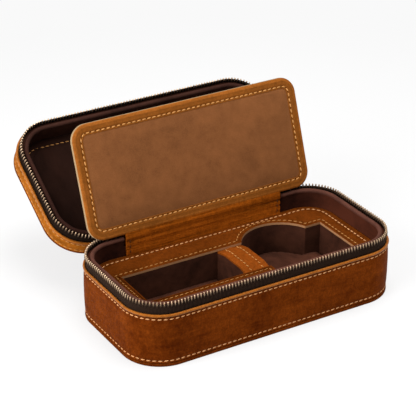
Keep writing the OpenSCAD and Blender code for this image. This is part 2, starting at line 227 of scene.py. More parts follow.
GROUPS = {"case": CaseSizes, "rim": RimSizes, "zip": ZipSizes, "tray": TraySizes,
          "flap": FlapSizes, "thread": ThreadSizes, "colours": CaseColours,
          "stage": StageSettings}
NEAR = 1e-5    # two places that lie closer than this are taken as one
SAME = 1e-6    # corners that lie closer than this are merged


def sizes(group):
    return getattr(bpy.context.scene, "watch_case_" + group)


# ---------------------------------------------------------------- workbench

def put_down():
    """Leaves edit mode and deselects everything."""
    if bpy.context.object and bpy.context.object.mode != "OBJECT":
        bpy.ops.object.mode_set(mode="OBJECT")
    bpy.ops.object.select_all(action="DESELECT")


def take(piece):
    put_down()
    piece.select_set(True)
    bpy.context.view_layer.objects.active = piece


def edit(piece, kind="FACE", wanted=None):
    """Opens a piece with all selected, or the faces, edges or vertices that are wanted."""
    take(piece)
    bpy.ops.object.mode_set(mode="EDIT")
    bpy.ops.mesh.select_mode(type=kind)
    bpy.ops.mesh.select_all(action="DESELECT" if wanted else "SELECT")
    if not wanted:
        return
    mesh = bmesh.from_edit_mesh(piece.data)
    mesh.normal_update()
    found = [i for i in {"FACE": mesh.faces, "EDGE": mesh.edges, "VERT": mesh.verts}[kind]
             if wanted(i)]
    if not found:
        raise RuntimeError("nothing to select on " + piece.name)
    for item in found:
        item.select = True
    mesh.select_flush_mode()
    bmesh.update_edit_mesh(piece.data)


def middle(edge):
    return (edge.verts[0].co + edge.verts[1].co) / 2


def running(axis, also=lambda e: True):
    """Picks the edges that run along an axis."""
    return lambda e: also(e) and abs(getattr(e.verts[1].co - e.verts[0].co, axis)) > (
        0.9 * e.calc_length())


def across(axis, also=lambda e: True):
    """Picks the edges that lie square to an axis."""
    return lambda e: also(e) and abs(getattr(e.verts[1].co - e.verts[0].co, axis)) < (
        0.1 * e.calc_length())


def named(name):
    """Names the piece in hand and settles it in the frame's own place."""
    piece = bpy.context.object
    piece.name = name
    piece.data.name = name
    bpy.ops.object.transform_apply()
    return piece


def block(name, *spans):
    """A block between two places on each axis."""
    put_down()
    bpy.ops.mesh.primitive_cube_add(size=1, location=[sum(s) / 2 for s in spans],
                                    scale=[s[1] - s[0] for s in spans])
    return named(name)


def drum(name, centre, r, depth, sides, axis="Z"):
    put_down()
    tilt = {"X": (0, pi / 2, 0), "Z": (0, 0, 0)}[axis]
    bpy.ops.mesh.primitive_cylinder_add(vertices=sides, radius=r, depth=depth,
                                        location=centre, rotation=tilt)
    return named(name)


def round_edges(piece, width, steps, wanted):
    edit(piece, "EDGE", wanted)
    bpy.ops.mesh.bevel(offset=width, segments=steps, affect="EDGES", profile=0.5,
                       clamp_overlap=True)
    put_down()


def rounded(name, half_x, half_y, r, z0, z1, steps):
    """A plate with rounded corners, centred on the z axis."""
    piece = block(name, (-half_x, half_x), (-half_y, half_y), (z0, z1))
    round_edges(piece, r, steps, running("z"))
    return piece


def case_shape(inset):
    """Half width, half depth and corner radius of the case's outline, moved in."""
    c = sizes("case")
    return c.half_w - inset, c.half_d - inset, c.corner - inset


def band(name, outer, inner, z0, z1):
    """A closed band round the case, between two insets."""
    piece = rounded(name, *case_shape(outer), z0, z1, 14)
    edit(piece, "FACE", lambda f: abs(f.normal.z) > 0.9)
    bpy.ops.mesh.inset(thickness=inner - outer, use_even_offset=True)
    bpy.ops.mesh.bridge_edge_loops()
    put_down()
    return piece


def depth_in(co, half_x, half_y, r):
    """How far inside a rounded rectangle a point lies, seen from above."""
    x, y = abs(co.x) - (half_x - r), abs(co.y) - (half_y - r)
    if x > 0 and y > 0:
        return r - hypot(x, y)
    return r - max(x, y)


def cut_rings(piece, places, axis=(0, 0, 1)):
    """Cuts loops square to an axis into a piece."""
    edit(piece)
    for place in places:
        bpy.ops.mesh.select_all(action="SELECT")
        bpy.ops.mesh.bisect(plane_co=Vector(axis) * place, plane_no=axis)
    put_down()


def swell(piece, by, wanted):
    """Moves the wanted vertices out along their normals."""
    edit(piece, "VERT", wanted)
    bpy.ops.transform.shrink_fatten(value=by, use_even_offset=True)
    put_down()


def pressed(z, half=0.0005, deep=0.00028):
    """Profile of the line that a stitch row presses into a wall."""
    return [(z - half, 0), (z, -deep), (z + half, 0)]


def shape_wall(piece, profile):
    """Pushes the outer face of a band out or in at each height of a profile."""
    cut_rings(piece, [z for z, push in profile[1:-1]])
    for z, push in profile:
        if push:
            swell(piece, push, lambda v: abs(v.co.z - z) < NEAR
                  and depth_in(v.co, *case_shape(0)) < 0.0005)


def steps_in(piece, facing, steps):
    """Insets the faces that look one way, step by step: (width, rise) each."""
    edit(piece, "FACE", lambda f: f.normal.dot(Vector(facing)) > 0.9995)
    for width, rise in steps:
        bpy.ops.mesh.inset(thickness=width, depth=rise, use_even_offset=True)
    put_down()


def shift(piece, by, wanted=None):
    """Moves a piece's mesh, or its wanted vertices."""
    edit(piece, "VERT", wanted)
    bpy.ops.transform.translate(value=by)
    put_down()


def turn(piece, angle, centre, axis="X", wanted=None):
    """Turns a mesh or its wanted vertices; about X, a positive angle opens the lid."""
    edit(piece, "VERT", wanted)
    bpy.ops.transform.rotate(value=angle, orient_axis=axis, orient_type="GLOBAL",
                             center_override=centre)
    put_down()


def stretch(piece, by, centre, wanted=None):
    """Scales a piece's mesh, or its wanted vertices, about a point."""
    edit(piece, "VERT", wanted)
    bpy.ops.transform.resize(value=by, center_override=centre)
    put_down()


def crown(piece, half_x, half_y, z, rises):
    """Crowns a level face: each (distance in from the edge, rise) lifts what lies inside."""
    for axis, half in (((1, 0, 0), half_x), ((0, 1, 0), half_y)):
        cut_rings(piece, [s * (half - d) for d, rise in rises for s in (-1, 1)], axis)
    lifted = 0
    for d, rise in rises:
        shift(piece, (0, 0, rise), lambda v: abs(v.co.x) < half_x - d + NEAR
              and abs(v.co.y) < half_y - d + NEAR and abs(v.co.z - z - lifted) < NEAR)
        lifted += rise


def fold_point():
    c = sizes("case")
    return (0, c.fold_y, c.fold_z)


def to_its_place(piece, body):
    """Moves a piece to where its body rests: the case is made closed, the flap flat."""
    f, half_open = sizes("flap"), sizes("case").lid_open / 2
    if body == "flap":
        shift(piece, (0, f.rise + f.h / 2, 0))
        turn(piece, f.lean - pi / 2, (0, 0, 0))
        shift(piece, (0, f.fold_y, f.fold_z))
    elif body in ("slider", "pull_tab"):
        turn(piece, half_open, fold_point())
    elif body == "lid":
        turn(piece, 2 * half_open, fold_point())


def opened(*way):
    """A direction on the closed lid, as it points when the lid is open."""
    return Matrix.Rotation(-sizes("case").lid_open, 3, "X") @ Vector(way)


def weld(piece, reach):
    """Joins the corners that lie within reach of each other."""
    edit(piece)
    bpy.ops.mesh.remove_doubles(threshold=reach)
    put_down()


def face_out(piece):
    weld(piece, SAME)
    edit(piece)
    bpy.ops.mesh.normals_make_consistent(inside=False)
    put_down()


def fold_over(piece, steps, lengths, y):
    """Carries a piece's top over the spine's fold and on to the open lid.

    Returns where the fold starts and ends, at a depth in the closed case.
    """
    c = sizes("case")
    edit(piece, "FACE", lambda f: f.normal.z > 0.9)
    bpy.ops.mesh.spin(steps=steps, angle=c.lid_open, center=fold_point(), axis=(1, 0, 0))
    for part in lengths:
        bpy.ops.mesh.extrude_region_move(
            TRANSFORM_OT_translate={"value": opened(0, 0, part)})
    put_down()
    face_out(piece)
    end = Vector(fold_point()) + opened(0, y - c.fold_y, 0)
    return (0, y, c.fold_z), tuple(end)


def lid_twin(piece):
    """The lid's copy of a base rim piece, mirrored in the zip's plane."""
    take(piece)
    bpy.ops.object.duplicate()
    twin = named(piece.name.replace("base", "lid"))
    stretch(twin, (1, 1, -1), (0, 0, sizes("case").mesh))
    face_out(twin)
    return twin


def apply_all(piece):
    take(piece)
    for modifier in list(piece.modifiers):
        bpy.ops.object.modifier_apply(modifier=modifier.name)


def join_shape(piece, tool, operation):
    """Adds, cuts or keeps a shape with another, which is used up."""
    modifier = piece.modifiers.new("shape", "BOOLEAN")
    modifier.operation, modifier.solver, modifier.object = operation, "EXACT", tool
    apply_all(piece)
    take(tool)
    bpy.ops.object.delete()


def joined(pieces, name):
    put_down()
    for piece in pieces:
        piece.select_set(True)
    bpy.context.view_layer.objects.active = pieces[0]
    bpy.ops.object.join()
    return named(name)


def smooth(piece, degrees):
    take(piece)
    bpy.ops.object.shade_smooth_by_angle(angle=radians(degrees))


def ripple(piece, size, height):
    """Gives a skin the slight unevenness of handwork."""
    texture = bpy.data.textures.new(piece.name + "_ripple", "CLOUDS")
    texture.noise_scale = size
    modifier = piece.modifiers.new("ripple", "DISPLACE")
    modifier.texture, modifier.strength = texture, height
    modifier.texture_coords, modifier.mid_level = "LOCAL", 0.5
    apply_all(piece)


def line_from(piece, wanted):
    """Keeps a mesh's wanted edges alone and makes them a level curve."""
    edit(piece, "EDGE", lambda e: not wanted(e))
    bpy.ops.mesh.delete(type="EDGE")
    bpy.ops.mesh.select_all(action="SELECT")
    bpy.ops.mesh.delete(type="ONLY_FACE")
    take(piece)
    bpy.ops.object.convert(target="CURVE")
    line = bpy.context.object
    line.data.dimensions = "2D"
    return line


def outline(half_x, half_y, r, gap=0.0, steps=20):
    """A level curve round a rounded rectangle, open at the back by a gap to each side."""
    piece = rounded("line", half_x, half_y, r, 0, 0.001, steps)
    if gap:
        cut_rings(piece, [-gap, gap], (1, 0, 0))

    def edge_line(e):
        m = middle(e)
        inner = abs(m.y) < half_y - NEAR and abs(m.x) < half_x - r
        open_back = m.y > half_y - NEAR and abs(m.x) < gap
        return m.z < NEAR and not inner and not open_back
    return line_from(piece, edge_line)


def line_length(line):
    spline = line.data.splines[0]
    points = [p.co.xyz for p in spline.points]
    if spline.use_cyclic_u:
        points.append(points[0])
    return sum((b - a).length for a, b in zip(points, points[1:]))


def tube(name, line, r, z, sides=3):
    """A round cord along a level curve, at a height."""
    line.data.bevel_depth = r
    line.data.bevel_resolution = sides
    line.data.use_fill_caps = True
    take(line)
    bpy.ops.object.convert(target="MESH")
    piece = named(name)
    shift(piece, (0, 0, z))
    face_out(piece)
    smooth(piece, 35)
    return piece


def run_along(piece, line, count, step):
    """Repeats a piece along a level curve, which is used up, or straight on."""
    array = piece.modifiers.new("run", "ARRAY")
    array.count, array.use_relative_offset = count, False
    array.use_constant_offset = True
    array.constant_offset_displace = (step, 0, 0)
    if line:
        bend = piece.modifiers.new("follow", "CURVE")
        bend.object, bend.deform_axis = line, "POS_X"
    apply_all(piece)
    if line:
        take(line)
        bpy.ops.object.delete()
    return piece


def one_stitch(name, start, height, flat, fine):
    """One stitch: a grain of thread along x, lying level or against an upright wall."""
    t = sizes("thread")
    put_down()
    bpy.ops.mesh.primitive_uv_sphere_add(segments=6, ring_count=5, radius=0.5,
                                         rotation=(pi / 2, 0, pi / 2))
    piece = named(name)
    wide = t.thick * fine
    thin = wide * 0.62
    piece.scale = (t.stitch, wide, thin) if flat else (t.stitch, thin, wide)
    piece.rotation_euler = (0, 0, t.slant) if flat else (0, t.slant, 0)
    piece.location = (start, 0, height)
    bpy.ops.object.transform_apply()
    return piece


def stitch_row(name, line, height, flat=True, fine=1.0):
    """A row of stitches along a level curve."""
    run = line_length(line)
    count = round(run / sizes("thread").pitch)
    step = run / count
    return run_along(one_stitch(name, step / 2, height, flat, fine), line, count, step)


def straight_row(name, count, fine, axis, place):
    """A straight row of stitches along x, given a quarter turn and moved to its place."""
    pitch = sizes("thread").pitch
    row = run_along(one_stitch(name, -(count - 1) * pitch / 2, 0, True, fine), None, count,
                    pitch)
    turn(row, pi / 2, (0, 0, 0), axis)
    shift(row, place)
    return row


def on(body, piece, finish, soft, *nodes, parts=()):
    """Dresses a piece, smooths it up to an angle and puts it in place on its body.

    Parts gives some of its faces finishes of their own. A blended piece has no body.
    """
    smooth(piece, soft)
    piece.data.materials.clear()
    piece.data.materials.append(FINISH[finish])
    for own, wanted in parts:
        piece.data.materials.append(FINISH[own])
        edit(piece, "FACE", wanted)
        piece.active_material_index = len(piece.data.materials) - 1
        bpy.ops.object.material_slot_assign()
    put_down()
    to_its_place(piece, body)
    if body:
        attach(piece, body)
    if nodes:
        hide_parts(*nodes)
    next(slot for slot, finishes in SLOTS.items() if finish in finishes)


def on_both(piece, finish, soft, *nodes):
    """Dresses a base rim piece, and its twin on the lid."""
    twin = lid_twin(piece)
    on("base", piece, finish, soft, *nodes)
    on("lid", twin, finish + "_lid" if finish + "_lid" in FINISH else finish, soft,
       *(node.replace("base", "lid") for node in nodes))


# ---------------------------------------------------------------- finishes

def both_ways(operation):
    """A sum with the wire on its left, and the same with the wire on its right."""
    return (lambda wire, other: wire.math(operation, wire, other),
            lambda wire, other: wire.math(operation, other, wire))


class Wire:
    """A socket of a shader tree that can be used in sums."""

    def __init__(self, look, socket):
        self.look, self.socket = look, socket

    def math(self, operation, *values, clamp=False):
        return self.look.add("ShaderNodeMath", {"operation": operation, "use_clamp": clamp},
                             dict(enumerate(values)))

    __add__, __radd__ = both_ways("ADD")
    __sub__, __rsub__ = both_ways("SUBTRACT")
    __mul__, __rmul__ = both_ways("MULTIPLY")
    __truediv__, __rtruediv__ = both_ways("DIVIDE")

    def __abs__(self):
        return self.math("ABSOLUTE", self)

    def wave(self, period):
        """A smooth wave from 0 to 1 with the given period."""
        return self.math("SINE", self * (2 * pi / period)) * 0.5 + 0.5

    def zigzag(self, size):
        return self.math("PINGPONG", self, size)

    def held(self):
        return self.math("ADD", self, 0.0, clamp=True)

    def between(self, low, high):
        """0 below low, 1 above high and even in between."""
        return ((self - low) / (high - low)).held()


def full(tone, by=1.0):
    return [min(c * by, 1.0) for c in tone] + [1.0]


class Graph:
    """A node tree, of a material or of the sky."""

    def __init__(self, owner):
        owner.use_nodes = True
        self.tree = owner.node_tree
        self.tree.nodes.clear()

    def add(self, kind, settings=(), sockets=(), out=0):
        """Adds a node: its settings first, then the values or links of its sockets."""
        node = self.tree.nodes.new(kind)
        for key, value in dict(settings).items():
            setattr(node, key, value)
        for key, value in dict(sockets).items():
            if isinstance(value, Wire):
                self.tree.links.new(value.socket, node.inputs[key])
            else:
                node.inputs[key].default_value = value
        return Wire(self, node.outputs[out]) if node.outputs else None

    def seen_straight(self):
        """1 for what the camera sees itself or through glass, 0 for light on a piece."""
        ray = self.add("ShaderNodeLightPath").socket.node.outputs
        return (Wire(self, ray["Is Camera Ray"]) + Wire(self, ray["Is Transmission Ray"])).held()


class Look(Graph):
    """A material: its constants are set at once, what varies is wired after."""

    def __init__(self, name, lid=False, **constants):
        self.name, self.material = name, bpy.data.materials.new(name)
        Graph.__init__(self, self.material)
        self.shader = self.add("ShaderNodeBsdfPrincipled", {},
                               {key.replace("_", " "): v for key, v in constants.items()})
        self.add("ShaderNodeOutputMaterial", {}, {"Surface": self.shader})
        self.at = self.add("ShaderNodeTexCoord", out=3)
        if lid:
            self.closed_lid()

    def closed_lid(self):
        """Reads patterns on a lid piece as if the lid were closed."""
        lid_open, fold = sizes("case").lid_open, Vector(fold_point())
        back = Matrix.Rotation(lid_open, 3, "X")
        self.at = self.add("ShaderNodeMapping", {},
                           {"Vector": self.at, "Rotation": (lid_open, 0, 0),
                            "Location": fold - back @ fold})

    def feed(self, tone, rough, height, depth, strength):
        """Wires the colour, the roughness and a bump of a depth; the finish is then ready."""
        normal = self.add("ShaderNodeBump", {},
                          {"Height": height, "Distance": depth, "Strength": strength})
        for key, wire in (("Base Color", tone), ("Roughness", rough), ("Normal", normal)):
            self.tree.links.new(wire.socket, self.shader.socket.node.inputs[key])
        FINISH[self.name] = self.material

    def axes(self):
        split = self.add("ShaderNodeSeparateXYZ", {}, {0: self.at})
        return [Wire(self, output) for output in split.socket.node.outputs]

    def noise(self, scale, detail=3.0, rough=0.55, stretch=None, swirl=0.0):
        at = self.at
        if stretch:
            at = self.add("ShaderNodeVectorMath", {"operation": "MULTIPLY"},
                          {0: at, 1: stretch})
        return self.add("ShaderNodeTexNoise", {"noise_dimensions": "3D"},
                        {"Vector": at, "Scale": scale, "Detail": detail,
                         "Roughness": rough, "Distortion": swirl})

    def cells(self, scale, feature="F1"):
        return self.add("ShaderNodeTexVoronoi", {"feature": feature},
                        {"Vector": self.at, "Scale": scale})

    def mix(self, share, a, b):
        return self.add("ShaderNodeMix", {"data_type": "RGBA"}, {0: share, 6: a, 7: b}, out=2)

    def over(self, tone, share, colour, by=1.0):
        """Lays a shade of a colour over a tone."""
        return self.mix(share, tone, full(colour, by))


def oiled_leather(name, dark, light, patch=1.0, polish=0.40, edges=None, lid=False,
                  shine=0.006, cord_z=None, creases=0.0):
    """Pull-up leather: dark where it is oiled, light where it is stretched or rubbed; on top of
    that, a painted highlight on a cord's upper half, painted light and shade on creases and a
    painted shadow line under the piping.
    """
    look = Look(name, lid, Specular_IOR_Level=shine, Specular_Tint=full(light, 2.4))
    cloud = look.noise(20, 5, 0.62, swirl=0.3)
    drift = look.noise(85, 4, 0.6)
    streak = look.noise(60, 5, 0.7, stretch=(1, 1, 5))
    pulled_and_painted_light = (cloud * 0.4 + drift * 0.25 + streak * 0.35).between(0.36, 0.70) * patch
    # Creases: the crease pattern lightens the crests, which is the pull-up lightening where the
    # leather bends together with painted light on the wrinkles.
    if creases:
        fold = look.noise(26, 5, 0.7, stretch=(0.35, 1, 7), swirl=0.4).between(0.34, 0.70)
        pulled_and_painted_light = pulled_and_painted_light * (1 - creases) + fold * creases
    # Painted highlight: a cord is painted lighter on its upper half, above the cord's centre
    # height.
    if cord_z:
        z = look.axes()[2]
        pulled_and_painted_light = (pulled_and_painted_light * 0.5 + (z - cord_z).between(-0.0003, 0.0007) * 0.8).held()
    if edges:
        low, high, wide, rim = edges
        z = look.axes()[2]
        rub = 1 - (0.5 * (high - low) - abs(z - 0.5 * (high + low))).between(0, wide)
        pulled_and_painted_light = (pulled_and_painted_light + rub * (drift * 0.5 + 0.18)).held()
    fine = look.noise(1100, 2, 0.5)
    scuff = look.noise(140, 5, 0.7, stretch=(0.5, 1, 2.5)).between(0.60, 0.72)
    grain = look.noise(430, 4, 0.72, stretch=(1, 1, 0.6))
    tone = look.mix(pulled_and_painted_light, full(dark), full(light))
    # Painted shade: darker in the crease valleys.
    if creases:
        tone = look.over(tone, fold.between(0.35, 0.1) * creases, dark, 0.5)
    tone = look.over(tone, scuff * 0.22, light, 1.5)
    tone = look.over(tone, grain.between(0.50, 0.70) * 0.22, light, 1.15)
    tone = look.over(tone, grain.between(0.48, 0.34) * 0.32, dark, 0.55)
    tone = look.over(tone, fine.between(0.62, 0.42) * 0.25, dark, 0.45)
    # Painted shadow: a dark line on the wall's edge just under the piping, at the height given
    # as the edges' last value.
    if edges:
        piping_shadow = 1 - abs(z - rim).between(0.0004, 0.0009)
        tone = look.over(tone, piping_shadow * 0.75, dark, 0.4)
    pores = look.cells(1500).between(0.0, 0.55)
    crease = look.cells(420, "SMOOTH_F1").between(0.1, 0.9)
    height = pores * 0.30 + crease * 0.30 + look.noise(240, 4, 0.6) * 0.40
    if creases:
        height = height + fold * creases * 4
    look.feed(tone, polish + drift * 0.16 + fine * 0.10 - pulled_and_painted_light * 0.05, height, 0.00028, 0.75)


def suede(name, colour, lively=0.5, lid=False, sheen=0.28, contrast=1.0, ends=None):
    """Brushed suede: a short nap whose shade turns with the way it lies.

    Its ends are the distances, along the case, between which it is painted lighter: painted
    light on the ends of the liner.
    """
    look = Look(name, lid, Sheen_Weight=sheen, Sheen_Roughness=0.45,
                Sheen_Tint=full(colour, 2.2), Specular_IOR_Level=0.08)
    lay = look.noise(42, 4, 0.6, swirl=0.8).between(0.36, 0.64)
    swipe = look.noise(150, 3, 0.6, stretch=(1, 0.35, 1)).between(0.35, 0.65)
    nap = look.noise(1700, 3, 0.7)
    shade = (lay * 0.6 + swipe * 0.4) * lively + nap * (1 - lively)
    tone = look.over(full(colour, 1 - 0.48 * contrast), shade, colour, 1 + 0.6 * contrast)
    # Painted light: the suede is painted lighter towards both ends of the case.
    if ends:
        x = look.axes()[0]
        tone = look.over(tone, abs(x).between(*ends) * (0.5 + lay * 0.35), colour, 3.3)
    height = nap * 0.7 + look.noise(520, 3, 0.6) * 0.3
    look.feed(tone, 0.98 - swipe * 0.08, height, 0.00022, 0.8)


def woven_tape(name, colour, lid=False):
    """Herringbone tape: slanted ribs that turn back at every warp stripe."""
    look = Look(name, lid, Specular_IOR_Level=0.04, Sheen_Weight=0.22, Sheen_Roughness=0.4,
                Sheen_Tint=full(colour, 14))
    x, y, z = look.axes()
    along = abs(x) - abs(y)
    weave = (z + along.zigzag(0.0013)).wave(0.00085) * 0.75 + along.wave(0.0026) * 0.25
    dust = look.noise(260, 4, 0.6)
    tone = look.over(full(colour, 0.55), weave * 0.65 + dust * 0.35, colour, 1.9)
    look.feed(tone, 0.78 + dust * 0.16, weave, 0.00018, 0.9)


def old_brass(name, colour, patina, chain=False, lid=False):
    """Brushed brass with brown patina in its low places; a chain is lighter at its tips, rubbed
    wear together with a painted highlight, and darker at its feet, patina together with painted
    shade.
    """
    look = Look(name, lid, Metallic=1.0)
    stain = look.noise(420, 4, 0.62).between(0.40, 0.66)
    brush = look.noise(2600, 2, 0.5, stretch=(0.15, 1, 1))
    if chain:
        from_mesh = abs(look.axes()[2] - sizes("case").mesh)
        # Painted highlight: the teeth are lighter towards their tips, rubbed wear together with
        # a painted highlight; towards their feet they darken, patina together with painted
        # shade.
        tip_wear_and_highlight = 1 - from_mesh.between(0.0006, 0.0026)
        tone = look.mix(tip_wear_and_highlight * (1 - stain * 0.5), full(patina, 0.9), full(colour, 2.0))
    else:
        tone = look.mix(stain * 0.7, full(colour), full(patina))
        tone = look.over(tone, brush.between(0.5, 0.8) * 0.35, colour, 1.5)
    look.feed(tone, 0.30 + stain * 0.20 + brush * 0.10, brush, 0.00006, 0.6)


def waxed_thread(name, colour):
    look = Look(name, Specular_IOR_Level=0.04)
    x, y, z = look.axes()
    ply = (x + y + z * 1.7).wave(0.00042)
    soil = look.noise(130, 3, 0.6).between(0.35, 0.7)
    tone = look.over(full(colour), soil * 0.55, colour, 0.66)
    tone = look.over(tone, ply * 0.35, colour, 0.55)
    look.feed(tone, 0.58 + soil * 0.2, ply, 0.00012, 0.8)


def cut_leather(name, colour):
    """The raw edge of cut leather, burnished, with its fibre in thin layers."""
    look = Look(name, Specular_IOR_Level=0.15)
    x, y, z = look.axes()
    layer = (z + look.noise(300, 3) * 0.0004).wave(0.0005)
    fibre = look.noise(1300, 3, 0.7)
    tone = look.over(full(colour, 0.55), fibre * 0.6 + layer * 0.4, colour, 1.25)
    look.feed(tone, 0.62 + fibre * 0.2, fibre, 0.0002, 0.7)


def pressed_board(name, colour):
    look = Look(name, Specular_IOR_Level=0.2)
    flock = look.noise(700, 4, 0.7)
    fibre = look.noise(260, 3, 0.6, stretch=(1, 0.2, 1)).between(0.55, 0.75)
    tone = look.over(full(colour, 0.7), flock, colour, 1.2)
    tone = look.over(tone, fibre * 0.4, colour, 0.45)
    look.feed(tone, 0.85 + flock * 0.1, flock, 0.0001, 0.6)


def cell_foam(name, colour):
    look = Look(name, Specular_IOR_Level=0.2)
    cell = look.cells(900).between(0.0, 0.6)
    tone = look.over(full(colour, 0.35), cell, colour, 1.3)
    look.feed(tone, 0.9 - cell * 0.08, cell, 0.0003, 0.9)


FINISH = {}    # every finish by its name
SLOTS = {      # the part's slots, each with the finishes that fill it
    "outer_leather": ("oiled_leather_base", "oiled_leather_lid", "oiled_leather_plain",
                      "oiled_leather_lid_top"),
    "edge_leather": ("tan_piping", "tan_piping_lid", "tan_border", "waxed_thread",
                     "golden_thread", "dull_thread"),
    "tray_leather": ("tray_leather", "strap_leather", "hinge_leather", "dark_thread"),
    "rose_suede": ("rose_suede", "rose_suede_lid"),
    "dark_suede": ("dark_suede", "dark_suede_panel"),
    "brown_suede": ("brown_suede",),
    "zip_tape": ("zip_tape", "zip_tape_lid"),
    "antique_brass": ("antique_brass", "chain_brass", "chain_brass_lid"),
}


def make_leathers(c, t):
    dark, light, tan, lid, border, tray, hinge = (Vector(v) for v in (
        c.cognac, c.cognac_light, c.tan, c.lid, c.border, c.tray, c.hinge))
    lid_rim = 2 * t.mesh - t.wall_top
    # edges: the wall's bottom and top, the width of its rubbed band, and the height of the
    # painted shadow line under the piping.
    oiled_leather("oiled_leather_base", dark, light, 0.82,
                  edges=(t.welt, t.wall_top, 0.0016, t.wall_top))
    # painted light: the lid wall is painted paler than the base's leather; its creases paint
    # light and shade
    oiled_leather("oiled_leather_lid", lid * 0.5, lid * 1.35, 0.95, lid=True, creases=0.5,
                  edges=(lid_rim, t.closed - t.leather, 0.0014, lid_rim))
    oiled_leather("oiled_leather_plain", dark, light, 0.75)
    oiled_leather("oiled_leather_lid_top", dark * 1.1, light, 0.9, lid=True)
    # the piping's lighter upper half is a painted highlight
    oiled_leather("tan_piping", tan * 0.36, tan * 1.05, 0.9, 0.30, shine=0.5,
                  cord_z=sizes("rim").piping_z)
    oiled_leather("tan_piping_lid", tan * 0.62, tan * 1.25, 0.9, 0.26, lid=True, shine=0.7)
    oiled_leather("tan_border", border * 0.78, border * 1.3, 0.85)
    # the border's rim is a lighter copy of the border leather: rubbed wear together with a
    # painted highlight on the rounded outer edge
    oiled_leather("tan_border_rim", border, border * 1.75)
    oiled_leather("tray_leather", tray * 0.58, tray * 1.8, 0.85)
    oiled_leather("strap_leather", tray * 1.3, tray * 2.8, 0.85, 0.36)
    # the hinge's creases paint light and shade on the strip's wrinkles
    oiled_leather("hinge_leather", hinge * 0.45, hinge * 1.6, 0.9, creases=0.6)
    cut_leather("cut_leather", c.cut)
    cut_leather("painted_edge", c.paint)


def make_suedes(c):
    suede("dark_suede", c.dark_suede, 0.8, sheen=0.22, contrast=1.2)
    # painted shade: the lid's suedes are painted darker than the base's
    suede("dark_suede_lid", Vector(c.dark_suede) * 0.75, 0.6, lid=True, sheen=0.08)
    suede("dark_suede_panel", c.lid_suede, lid=True, sheen=0.14)
    # painted shadow: the base's liner is painted darker; its ends are painted lighter as painted
    # light
    suede("liner_suede", c.liner_suede, 0.85, sheen=0.12, contrast=1.4, ends=(0.071, 0.081))
    suede("rose_suede", c.rose_suede, sheen=0.22)
    # painted shade: the lid's rolled edge is the rose suede painted darker
    suede("rose_suede_lid", Vector(c.rose_suede) * 0.45, lid=True, sheen=0.16)
    suede("brown_suede", c.brown_suede, 0.35)


def make_finishes():
    c = sizes("colours")
    make_leathers(c, sizes("case"))
    make_suedes(c)
    woven_tape("zip_tape", c.tape)
    # painted shade: the lid's tape is the same tape painted darker
    woven_tape("zip_tape_lid", Vector(c.tape) * 0.5, lid=True)
    waxed_thread("waxed_thread", c.thread)
    waxed_thread("golden_thread", c.gold_thread)
    # the dull thread is the golden thread painted darker: painted shade where rows lie in shade,
    # as on the tray's inner row, and a fainter tone on the lid's walls
    waxed_thread("dull_thread", Vector(c.gold_thread) * 0.75)
    waxed_thread("dark_thread", c.dark_thread)
    old_brass("antique_brass", c.brass, c.patina)
    old_brass("chain_brass", c.brass, c.patina, chain=True)
    old_brass("chain_brass_lid", c.brass, c.patina, chain=True, lid=True)
    pressed_board("pressed_board", c.board)
    cell_foam("dense_foam", c.foam)


def finish_node(node, name):
    """Gives a CAD node its procedural material."""
    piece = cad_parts[node]
    if piece.material_slots:
        for slot in piece.material_slots:
            slot.material = FINISH[name]
    else:
        piece.data.materials.append(FINISH[name])


# ---------------------------------------------------------------- the pieces

class Made:
    """What the case's operators share."""
    bl_options = {"REGISTER", "UNDO"}

    def execute(self, context):
        self.make()
        return {"FINISHED"}


class WATCHCASE_OT_walls(Made, bpy.types.Operator):
    """Leather walls of the base and the lid, with a pressed line under each stitch row"""
    bl_idname = "watchcase.walls"
    bl_label = "Leather walls"

    def make(self):
        c = sizes("case")
        foot, top = c.welt, c.wall_top
        base = band("base_leather_wall", 0, c.leather, foot, top)
        shape_wall(base, [
            (foot, -0.0008), (foot + 0.0005, 0), *pressed(foot + c.row_foot),
            (foot + 0.0040, 0.00018), (foot + 0.0100, 0.00034), (foot + 0.0180, 0.00034),
            (top - 0.0040, 0.00016), *pressed(top - c.row_rim), (top - 0.0003, -0.0001),
            (top, -0.0006)])
        on("base", base, "oiled_leather_base", 50, "base_outer_wall")
        foot, top = 2 * c.mesh - top, c.closed - c.leather
        lid = band("lid_leather_wall", 0, c.leather, foot, top)
        shape_wall(lid, [
            (foot, -0.0006), (foot + 0.0003, -0.0001), *pressed(foot + c.row_rim),
            (foot + 0.0034, 0.0002), (top - 0.0030, 0.0002), *pressed(top - c.row_top),
            (top - 0.0002, 0), (top, -0.0003)])
        on("lid", lid, "oiled_leather_lid", 50, "lid_outer_wall")


class WATCHCASE_OT_plates(Made, bpy.types.Operator):
    """Bottom leather, whose edge is the welt, and the lid's top leather"""
    bl_idname = "watchcase.plates"
    bl_label = "Bottom and top leather"

    def make(self):
        c = sizes("case")
        overhang = 0.0002
        outside = case_shape(-overhang)
        bottom = rounded("base_welt_leather", *outside, 0, c.welt, 20)
        round_edges(bottom, 0.0006, 3, across("z"))
        on("base", bottom, "oiled_leather_plain", 50, "base_bottom_panel")
        top = rounded("lid_top_leather", *outside, c.closed - c.leather, c.closed, 20)
        round_edges(top, 0.0004, 3, across("z"))
        steps_in(top, (0, 0, 1), [(0.0014, 0), (0.0003, -0.0002), (0.0003, 0.0002),
                                  (0.004, 0.0004), (0.006, 0.0003)])
        on("lid", top, "oiled_leather_lid_top", 50, "lid_top_panel")


